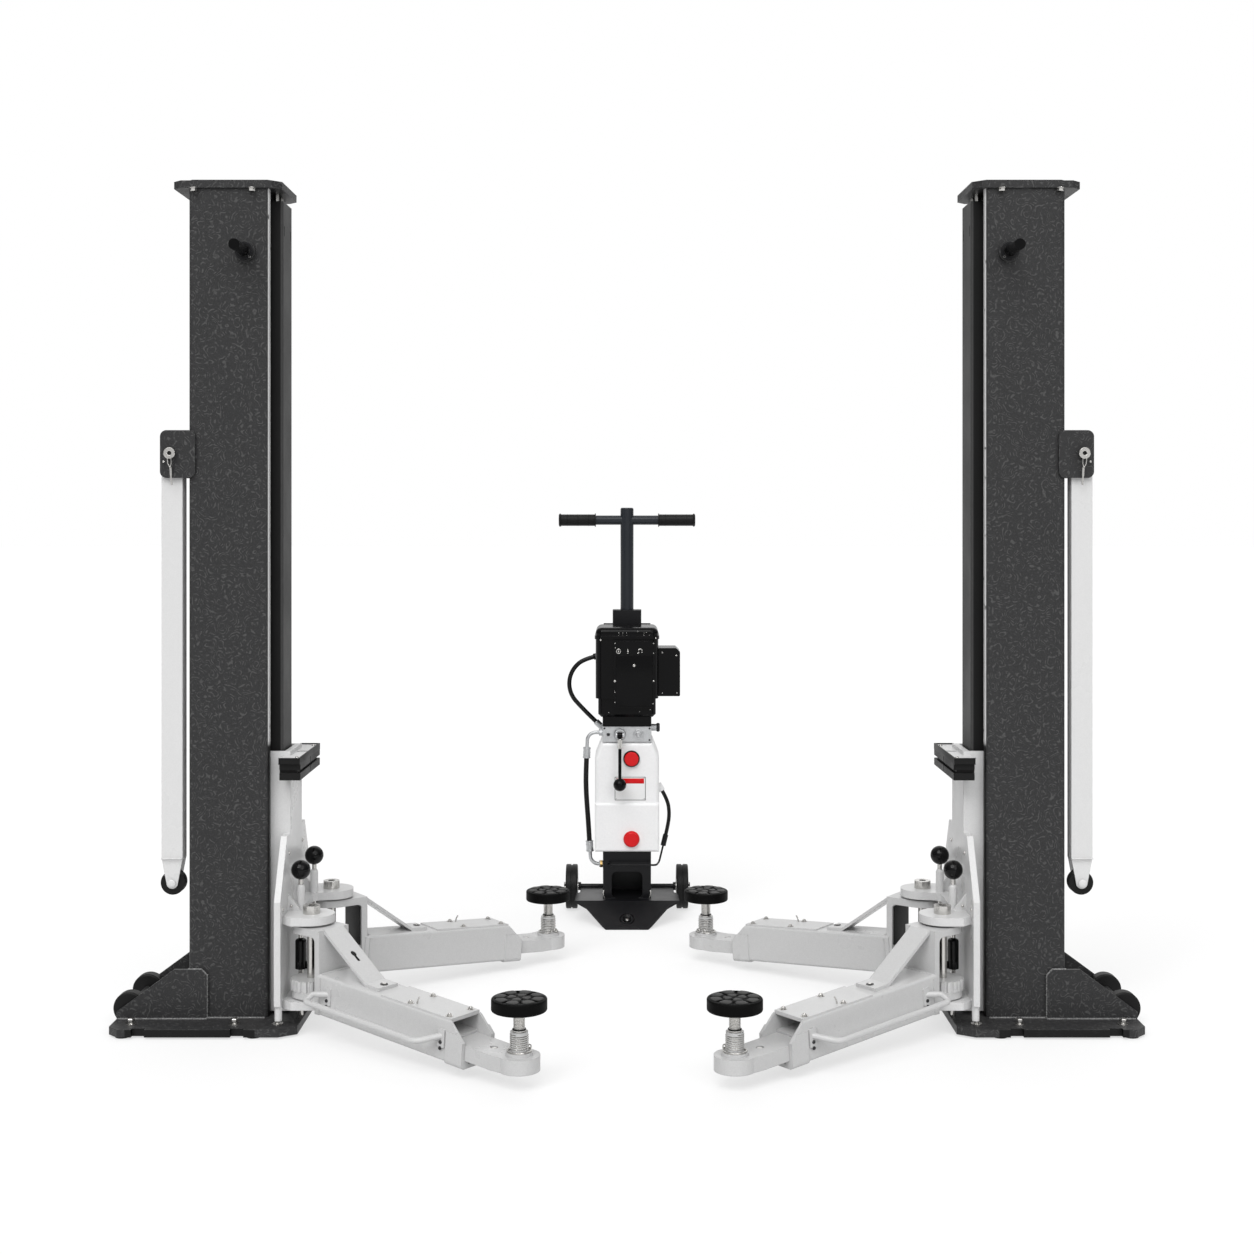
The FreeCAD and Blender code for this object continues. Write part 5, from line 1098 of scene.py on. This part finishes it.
def dress_base(side):
    """Weld beads round the gussets and the column's foot, and the anchor bolts."""
    place = post_space(side)
    beads, bolts = bmesh.new(), bmesh.new()
    for hand in (-1, 1):
        face = hand * COLUMN_HALF_DEPTH
        outer = hand * (COLUMN_HALF_DEPTH + GUSSET_SHEET)
        add_weld(beads, [(GUSSET_IN_X, face, BASE_TOP), (GUSSET_IN_X, face, GUSSET_TOP - GUSSET_CORNER),
                         (GUSSET_IN_X - GUSSET_CORNER, face, GUSSET_TOP), (COLUMN_OUTER_X, face, GUSSET_TOP)])
        add_weld(beads, [(GUSSET_OUT_X, outer, BASE_TOP), (GUSSET_IN_X, outer, BASE_TOP),
                         (GUSSET_IN_X + FOOT_WELD_STEP, face, BASE_TOP),
                         (COLUMN_INNER_X - FOOT_WELD_GAP, face, BASE_TOP)])
        for offset in ANCHOR_OFFSETS:
            seat = at(BASE_OUTER_X + offset, hand * ANCHOR_Y, BASE_TOP)
            add_washer(bolts, *ANCHOR_WASHER, seat)
            add_disc(bolts, *ANCHOR_STUD, seat, 14)
            add_hex(bolts, *ANCHOR_NUT, seat @ at(0, 0, ANCHOR_NUT_LIFT))
    add_weld(beads, [(COLUMN_OUTER_X, hand * COLUMN_HALF_DEPTH, BASE_TOP) for hand in (-1, 1)])
    piece(side + "_base_welds", beads, weld_coat_with_highlights, "frame", place)
    piece(side + "_anchor_bolts", bolts, bright_steel, "frame", place)


def dress_column(side):
    """Nuts under the cap, the release's small screw and the rings round its knob."""
    place = post_space(side)
    nuts, rings = bmesh.new(), bmesh.new()
    for hand in (-1, 1):
        for x in CAP_STUDS_X:
            hang = aimed((x, hand * (COLUMN_HALF_DEPTH + CAP_STUD_GAP), COLUMN_TOP), DOWN)
            add_washer(nuts, *CAP_WASHER, hang)
            add_hex(nuts, *CAP_NUT, hang @ at(0, 0, CAP_WASHER[-1]))
    release = aimed((RELEASE_X, RELEASE_FACE_Y, RELEASE_Z), NEAR)
    add_screw(nuts, RELEASE_SCREW,
              aimed((RELEASE_X + RELEASE_SCREW_SHIFT, RELEASE_FACE_Y, RELEASE_Z - RELEASE_SCREW_SHIFT), NEAR))
    for ring in RELEASE_RINGS:
        add_washer(rings, *ring, release)
    piece(side + "_cap_nuts", nuts, bright_steel, "frame", place)
    piece(side + "_release_ring", rings, satin_black, "frame", place)


def dress_leg(side):
    """Retaining pin with its ring and strap on the bracket, and the leg's rivet and folded lip."""
    place = post_space(side)
    pin, rivet = bmesh.new(), bmesh.new()
    pin_place = Vector((LEG_X, LEG_PIN_FACE_Y, LEG_PIN_Z))
    add_lathe(pin, LEG_PIN_PROFILE, aimed(pin_place, NEAR), 32)
    for hand in (-1, 1):
        wire = [pin_place + Vector((hand * WIRE_HALF * share + x, y, z)) for share, x, y, z in WIRE_POINTS]
        add_tube(pin, wire, WIRE_RADIUS)
    joints = [pin_place + Vector((x, STRAP_BACK, z)) for x, z in STRAP_POINTS]
    for start, end, half in zip(joints, joints[1:], STRAP_HALVES):
        along = (end - start).normalized()
        edge = Vector((-along.z, 0, along.x)) * half
        corners = (start + edge, start - edge, end - edge, end + edge)
        sheets = [Vector((0, y, 0)) for y in (-STRAP_HALF_SHEET, STRAP_HALF_SHEET)]
        add_skin(pin, [[pin.verts.new(corner + sheet) for corner in corners] for sheet in sheets])
    add_screw(pin, BRACKET_SCREW_RADIUS, aimed(pin_place + Vector(BRACKET_SCREW), NEAR))
    piece(side + "_leg_pin", pin, bright_steel, "frame", place)
    add_lathe(rivet, LEG_RIVET_PROFILE, aimed((LEG_X, LEG_FACE_Y, LEG_AXLE_Z), NEAR))
    add_tube(rivet, [(LEG_X + way, LEG_FACE_Y, LEG_FOLD_Z) for way in (-LEG_HALF_WIDTH, 0, LEG_HALF_WIDTH)],
             LEG_FOLD_RADIUS)
    piece(side + "_leg_rivet", rivet, leg_coat, side + "_leg", place)


def dress_carriage(side):
    """Welds and screws on the carrier, and the guard's rubber rim and screws."""
    place = post_space(side)
    beads, screws, rim = bmesh.new(), bmesh.new(), bmesh.new()
    flange_x, flange_y, flange_z = FLANGE_SCREW_PLACE
    guard_x, guard_y = GUARD_SCREW_PLACE
    rim_x, rim_top = GUARD_FRONT_X + RIM_OUT, GUARD_TOP + RIM_LIFT
    for hand in (-1, 1):
        for top in HINGE_TOPS:
            add_weld(beads, [(CARRIER_FACE_X, hand * y, top) for y in HINGE_WELD_Y], HINGE_WELD_RADIUS)
        for y, z in CARRIER_SCREWS:
            add_screw(screws, CARRIER_SCREW, aimed((CARRIER_FACE_X, hand * y, z), RIGHT))
        add_screw(screws, FLANGE_SCREW, aimed((flange_x, hand * flange_y, flange_z), (0, hand, 0)))
        add_screw(screws, CARRIER_SCREW, at(guard_x, hand * guard_y, GUARD_TOP))
        add_block(rim, (GUARD_BACK_X, hand * (GUARD_HALF - RIM_LAP), GUARD_LOW),
                  (rim_x, hand * (GUARD_HALF + RIM_SHEET), rim_top), bevel=RIM_BEVEL)
    add_block(rim, (GUARD_RIM_BACK_X, -GUARD_HALF, GUARD_LOW), (rim_x, GUARD_HALF, rim_top), bevel=RIM_BEVEL)
    body = side + "_carriage"
    piece(side + "_carrier_welds", beads, silver_coat, body, place)
    piece(side + "_carrier_screws", screws, bright_steel, body, place)
    piece(side + "_guard_rim", rim, black_rubber, body, place)


def add_keyhole_shade(mesh):
    """Black plug of painted shade that fills the keyhole in the front arms' brace, just under its face."""
    slot_turn = math.asin(KEY_SLOT / KEY_RADIUS)
    outline = []
    for step in range(KEY_STEPS + 1):
        turn = slot_turn + 2 * (math.pi - slot_turn) * step / KEY_STEPS
        outline.append((KEY_X + KEY_RADIUS * math.cos(turn), KEY_RADIUS * math.sin(turn)))
    outline += [(KEY_X + KEY_LENGTH, -KEY_SLOT), (KEY_X + KEY_LENGTH, KEY_SLOT)]
    faces = [(x, y, BRACE_HIGH - (x - BOX_START) * BRACE_FALL) for x, y in outline]
    add_skin(mesh, [[mesh.verts.new((x, y, z - depth)) for x, y, z in faces] for depth in KEY_DEPTHS])


def square_off(value):
    """A sine or cosine pushed towards its ends, which turns a circle into a rounded square."""
    return math.copysign(abs(value) ** LOBE_SQUARENESS, value)


def add_lobe(mesh, lobe, middle, matrix):
    """Rounded tread lobe about a middle turn, with a softened top."""
    inner, outer, half_degrees, sunk = lobe
    rings = []
    for lift, shrink in ((-sunk, 0.0), (LOBE_HEIGHT * 0.6, 0.0), (LOBE_HEIGHT, LOBE_SHRINK)):
        ring = []
        for turn in turns(LOBE_STEPS):
            radius = (inner + outer) / 2 + square_off(math.cos(turn)) * ((outer - inner) / 2 - shrink)
            half = math.radians(half_degrees) - shrink / max(radius, LOBE_LEAST_RADIUS)
            angle = middle + square_off(math.sin(turn)) * half
            ring.append(mesh.verts.new(matrix @ polar(radius, angle, lift)))
        rings.append(ring)
    add_skin(mesh, rings)


def dress_arm(side, row):
    """Bolts, screws and welds of one arm, a black sheet of painted shade behind its strap, painted shade in
    the front brace's keyhole, and a black block of painted shade in the gap at its mouth.
    """
    level, leaning = arm_space(side, row)
    name = f"{side}_{row}_"
    body = name + "arm"
    bolts, beads, shade_and_nut, dark, mouth_shade_block = [bmesh.new() for _ in range(5)]
    for x, y in LID_BOLTS:
        add_bolt(bolts, LID_BOLT, at(x, y, LID_TOP))
    add_hex(bolts, *BRACE_HEAD, at(BRACE_BOLT_X, 0, BRACE_TOP))
    lid_pin = Vector((*LID_PIN, LID_TOP))
    add_tube(bolts, [lid_pin + Vector(point) for point in LID_PIN_POINTS], LID_PIN_RADIUS)
    for x in TAB_PLACES:
        for z in TAB_SCREW_HEIGHTS:
            add_screw(dark, TAB_SCREW, aimed((x, -TAB_FACE, z), NEAR))
    add_washer(dark, *BRACE_WASHER, at(BRACE_BOLT_X, 0, BRACE_TOP))
    for hand in (-1, 1):
        y = hand * (BOX_HALF + ARM_WELD_PROUD)
        for x, low, high, radius in ARM_WELDS:
            add_weld(beads, [(x, y, low), (x, y, high)], radius)
    add_weld(beads, [(TOP_WELD_X, y, BOX_HIGH) for y in (-TOP_WELD_HALF, TOP_WELD_HALF)], TOP_WELD_RADIUS)
    # Black sheet on the strap's inner face, as painted shade
    add_block(shade_and_nut, SHADE_SHEET_LOW, SHADE_SHEET_HIGH, bevel=SHADE_SHEET_BEVEL)
    # Black plug in the front brace's keyhole, as painted shade
    if row == "front":
        add_keyhole_shade(shade_and_nut)
    add_hex(shade_and_nut, *LUG_NUT, aimed(LUG_NUT_PLACE, DOWN))
    # Black block in the gap under the extension at the mouth, as painted shade
    add_block(mouth_shade_block, MOUTH_SHADE_LOW, MOUTH_SHADE_HIGH, bevel=MOUTH_SHADE_BEVEL)
    piece(name + "lid_bolts", bolts, bright_steel, body, leaning)
    piece(name + "arm_welds", beads, silver_coat, body, leaning)
    piece(name + "brace_bolt", dark, dark_steel, body, leaning)
    piece(name + "strap_shade_and_nut", shade_and_nut, black_rubber, body, level)
    piece(name + "mouth_gap_shade", mouth_shade_block, black_rubber, body, leaning)


def add_clip(mesh):
    """Open wire clip round the sleeve's foot, with an eye at each end."""
    first, last = CLIP_TURNS
    wire = []
    for step in range(CLIP_STEPS + 1):
        turn = math.radians(first + (last - first) * step / CLIP_STEPS)
        lift = CLIP_END_LIFT if step in (0, CLIP_STEPS) else CLIP_LIFT
        wire.append(polar(CLIP_RADIUS, turn, CLIP_LOW + lift) + Vector((PAD_REACH, 0, 0)))
    add_tube(mesh, wire, CLIP_WIRE)
    for end in (wire[0], wire[-1]):
        eye = arc(end + Vector((0, 0, EYE_LIFT)), EYE_RADIUS, EYE_RADIUS, range(0, 360, 30))
        add_tube(mesh, eye, EYE_WIRE, closed=True)


def dress_extension(side, row):
    """Stop screw, the sleeve's thread and open clip, the pad's tread and the screw's own thread."""
    level = arm_space(side, row)[0]
    name = f"{side}_{row}_"
    screw = at(PAD_REACH, 0, 0)
    pad = at(PAD_REACH, 0, PAD_TOP)
    steel, tread, thread, seal = [bmesh.new() for _ in range(4)]
    add_lathe(steel, STOP_PROFILE, at(STOP_X, 0, STOP_FLOOR))
    below, above = SLEEVE_THREAD_ENDS
    add_thread(steel, SLEEVE_RADIUS, *SLEEVE_THREAD, SLEEVE_LOW + below, SLEEVE_HIGH - above, screw, 30)
    add_lathe(steel, SLEEVE_RIM_PROFILE, at(PAD_REACH, 0, SLEEVE_HIGH - SLEEVE_RIM_DROP))
    add_clip(steel)
    for step in range(PAD_LOBES):
        add_lobe(tread, OUTER_LOBE, 2 * math.pi * (step + 0.5) / PAD_LOBES, pad)
    for step in range(PAD_LOBES // 2):
        add_lobe(tread, INNER_LOBE, 4 * math.pi * (step + 0.25) / PAD_LOBES, pad)
    add_thread(thread, SCREW_RADIUS, *SCREW_THREAD, SLEEVE_LOW, FLANGE_LOW - 0.001, screw)
    add_lathe(seal, SEAL_PROFILE, at(PAD_REACH, 0, SEAL_LOW))
    piece(name + "sleeve_thread", steel, bright_steel, name + "extension", level)
    piece(name + "pad_tread", tread, tread_rubber, name + "pad", level)
    piece(name + "screw_thread", thread, bright_steel, name + "pad", level)
    piece(name + "screw_seal", seal, black_rubber, name + "pad", level)


def trolley_piece(name, mesh, material, body="frame"):
    """A piece drawn from the trolley's back panel."""
    piece(name, mesh, material, body, at(0, TROLLEY_Y, 0))


def add_layer(mesh, face_y, layer):
    """Upright sheet on a face that looks to the front."""
    (left, low), (right, high), front, back, bevel = layer
    add_block(mesh, (left, face_y + front, low), (right, face_y + back, high), bevel=bevel)


def dress_motor():
    """Raised plate of the motor's cover, with its screws, switches and small fittings."""
    plate, bright = bmesh.new(), bmesh.new()
    add_layer(plate, COVER_FACE_Y, MOTOR_PLATE)
    trolley_piece("motor_plate", plate, glossy_plastic)
    for y, screws in MOTOR_SCREWS:
        for x, z, radius in screws:
            add_screw(bright, radius, aimed((x, y, z), NEAR))
    for x, z, wide, tall, wire, degrees, closed in SWITCH_WIRES:
        centre = (x, COVER_FACE_Y - SWITCH_WIRE_OUT, z)
        add_tube(bright, arc(centre, wide, tall, degrees), wire, closed=closed)
    trolley_piece("motor_screws", bright, bright_steel)


def add_ribs(mesh, ribs, matrix):
    """Knurled ribs round a knob: their count and one rib's corners."""
    count, low, high = ribs
    for turn in turns(count):
        add_block(mesh, low, high, matrix @ Matrix.Rotation(turn, 4, "Z"), bevel=RIB_BEVEL)


def dress_block():
    """Knurled knob, plugs and side knob of the valve block, and the crimps and nuts of its fittings."""
    metal, dark, gold = bmesh.new(), bmesh.new(), bmesh.new()
    add_ribs(dark, KNOB_RIBS, aimed((KNOB_X, BLOCK_FACE_Y, BLOCK_HEIGHT), NEAR))
    plug = aimed((PLUG_X, PLUG_FACE_Y, BLOCK_HEIGHT), NEAR)
    add_washer(metal, *PLUG_WASHER, plug)
    add_hex(metal, *PLUG_HEX, plug)
    add_washer(metal, *PLUG_RING, plug @ at(0, 0, PLUG_RING_LIFT))
    add_screw(dark, SMALL_PLUG, aimed((SMALL_PLUG_X, PLUG_FACE_Y, BLOCK_HEIGHT), NEAR))
    for x, z in BLOCK_SCREWS:
        add_screw(dark, BLOCK_SCREW, aimed((x, BLOCK_FACE_Y, z), NEAR))
    side = aimed(SIDE_KNOB_PLACE, RIGHT)
    add_lathe(dark, SIDE_KNOB_PROFILE, side @ at(0, 0, -SIDE_KNOB_BACK))
    add_ribs(dark, SIDE_KNOB_RIBS, side)
    route = [Vector((x, HOSE_PLANE_Y, z)) for x, z in PRESSURE_HOSE_ROUTE]
    for end, ahead, crimps in ((route[0], route[0] - route[1], UPPER_CRIMPS),
                               (route[-1], route[-1] - route[-2], LOWER_CRIMPS)):
        ahead.normalize()
        for along, radius in crimps:
            seat = end + ahead * (along - CRIMP_LENGTH / 2)
            add_washer(metal, radius, CRIMP_BORE, CRIMP_LENGTH, aimed(seat, ahead))
    add_hex(metal, *PIPE_NUT, aimed(PIPE_NUT_PLACE, LEFT))
    add_hex(gold, *BRASS_NUT, aimed(BRASS_NUT_PLACE, LEFT))
    trolley_piece("block_fittings", metal, cast_aluminium)
    trolley_piece("block_plugs", dark, dark_steel)
    trolley_piece("brass_nut", gold, brass)


def dress_tank():
    """Ring of the upper cap, and the bare plate with its plain red band."""
    ring, edge, face, band, rivets = [bmesh.new() for _ in range(5)]
    add_lathe(ring, CAP_RING_PROFILE, aimed(CAP_RING_PLACE, NEAR), 40)
    for mesh, layer in ((edge, PLATE_EDGE), (face, PLATE_FACE), (band, PLATE_BAND)):
        add_layer(mesh, TANK_FACE_Y, layer)
    for x in PLATE_RIVETS_X:
        for z in PLATE_RIVETS_Z:
            add_screw(rivets, PLATE_RIVET, aimed((x, TANK_FACE_Y - PLATE_RIVET, z), NEAR))
    trolley_piece("cap_ring", ring, black_rubber)
    trolley_piece("plate_edge", edge, satin_black)
    trolley_piece("bare_plate", face, plate_enamel)
    trolley_piece("plate_band", band, cap_plastic)
    trolley_piece("plate_rivets", rivets, dark_steel)


def dress_lever():
    """Bright neck of the control lever below its fork."""
    neck = bmesh.new()
    pivot = Vector(LEVER_PIVOT)
    add_lathe(neck, LEVER_NECK_PROFILE, aimed(pivot, Vector(LEVER_END) - pivot))
    trolley_piece("lever_neck", neck, bright_steel, "control_lever")


def dress_trolley_frame():
    """Outer flanges of the grips, axle caps, the tongue's bolt and the clips beside the cradle."""
    rubber, steel, dark = bmesh.new(), bmesh.new(), bmesh.new()
    grip_x, grip_y, grip_z = GRIP_END_PLACE
    for hand in (-1, 1):
        end = aimed((hand * grip_x, grip_y, grip_z), (-hand, 0, 0))
        add_lathe(rubber, GRIP_END_PROFILE, end, 28)
        for along in GRIP_RIBS:
            add_washer(rubber, *GRIP_RIB, end @ at(0, 0, along))
        add_hex(steel, *AXLE_NUT, aimed((hand * AXLE_OUTER_X, AXLE_Y, AXLE_Z), (hand, 0, 0)))
        inner = aimed((hand * AXLE_INNER_X, AXLE_Y, AXLE_Z), (-hand, 0, 0))
        add_washer(steel, *AXLE_WASHER, inner @ at(0, 0, AXLE_WASHER_GAP))
        add_tube(steel, [(hand * x, y, z) for x, y, z in CRADLE_CLIP], CRADLE_CLIP_WIRE)
    out = Vector((0, -TONGUE_FALL, TONGUE_RUN)).normalized()
    seat = aimed(Vector(TONGUE_BOLT_PLACE) + out * TONGUE_BOLT_LIFT, out)
    add_lathe(dark, TONGUE_CUP_PROFILE, seat, 32)
    add_lathe(steel, TONGUE_BOLT_PROFILE, seat, 18)
    trolley_piece("grip_ends", rubber, black_rubber)
    trolley_piece("axle_caps", steel, bright_steel)
    trolley_piece("tongue_cup", dark, glossy_plastic)


def make_hose(name, node, route, depth, radius):
    """A hose on its route, in place of its CAD node."""
    curve = bpy.data.curves.new(name, "CURVE")
    curve.dimensions = "3D"
    curve.bevel_depth = radius
    curve.bevel_resolution = 5
    curve.resolution_u = 16
    curve.use_fill_caps = True
    line = curve.splines.new("NURBS")
    line.points.add(len(route) - 1)
    points = [(x, TROLLEY_Y + depth, z) for x, z in route]
    for point, place in zip(line.points, points):
        point.co = (*place, 1)
    line.order_u = 3
    line.use_endpoint_u = True
    curve.materials.append(hose_rubber)
    hose = bpy.data.objects.new(name, curve)
    bpy.context.scene.collection.objects.link(hose)
    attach(hose, "frame")
    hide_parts(node)


for side in SIDES:
    dress_base(side)
    dress_column(side)
    dress_leg(side)
    dress_carriage(side)
    for row in ROWS:
        dress_arm(side, row)
        dress_extension(side, row)
dress_motor()
dress_block()
dress_tank()
dress_lever()
dress_trolley_frame()
make_hose("pressure_hose_rubber", "pressure_hose", PRESSURE_HOSE_ROUTE, HOSE_PLANE_Y,
          PRESSURE_HOSE_RADIUS)
make_hose("motor_conduit_tube", "motor_conduit", CONDUIT_ROUTE, CONDUIT_PLANE_Y, CONDUIT_RADIUS)
make_hose("return_hose_rubber", "return_hose", RETURN_HOSE_ROUTE, HOSE_PLANE_Y, RETURN_HOSE_RADIUS)
finish_nodes()
make_floor()
make_light()
bpy.context.scene.view_settings.view_transform = "Standard"
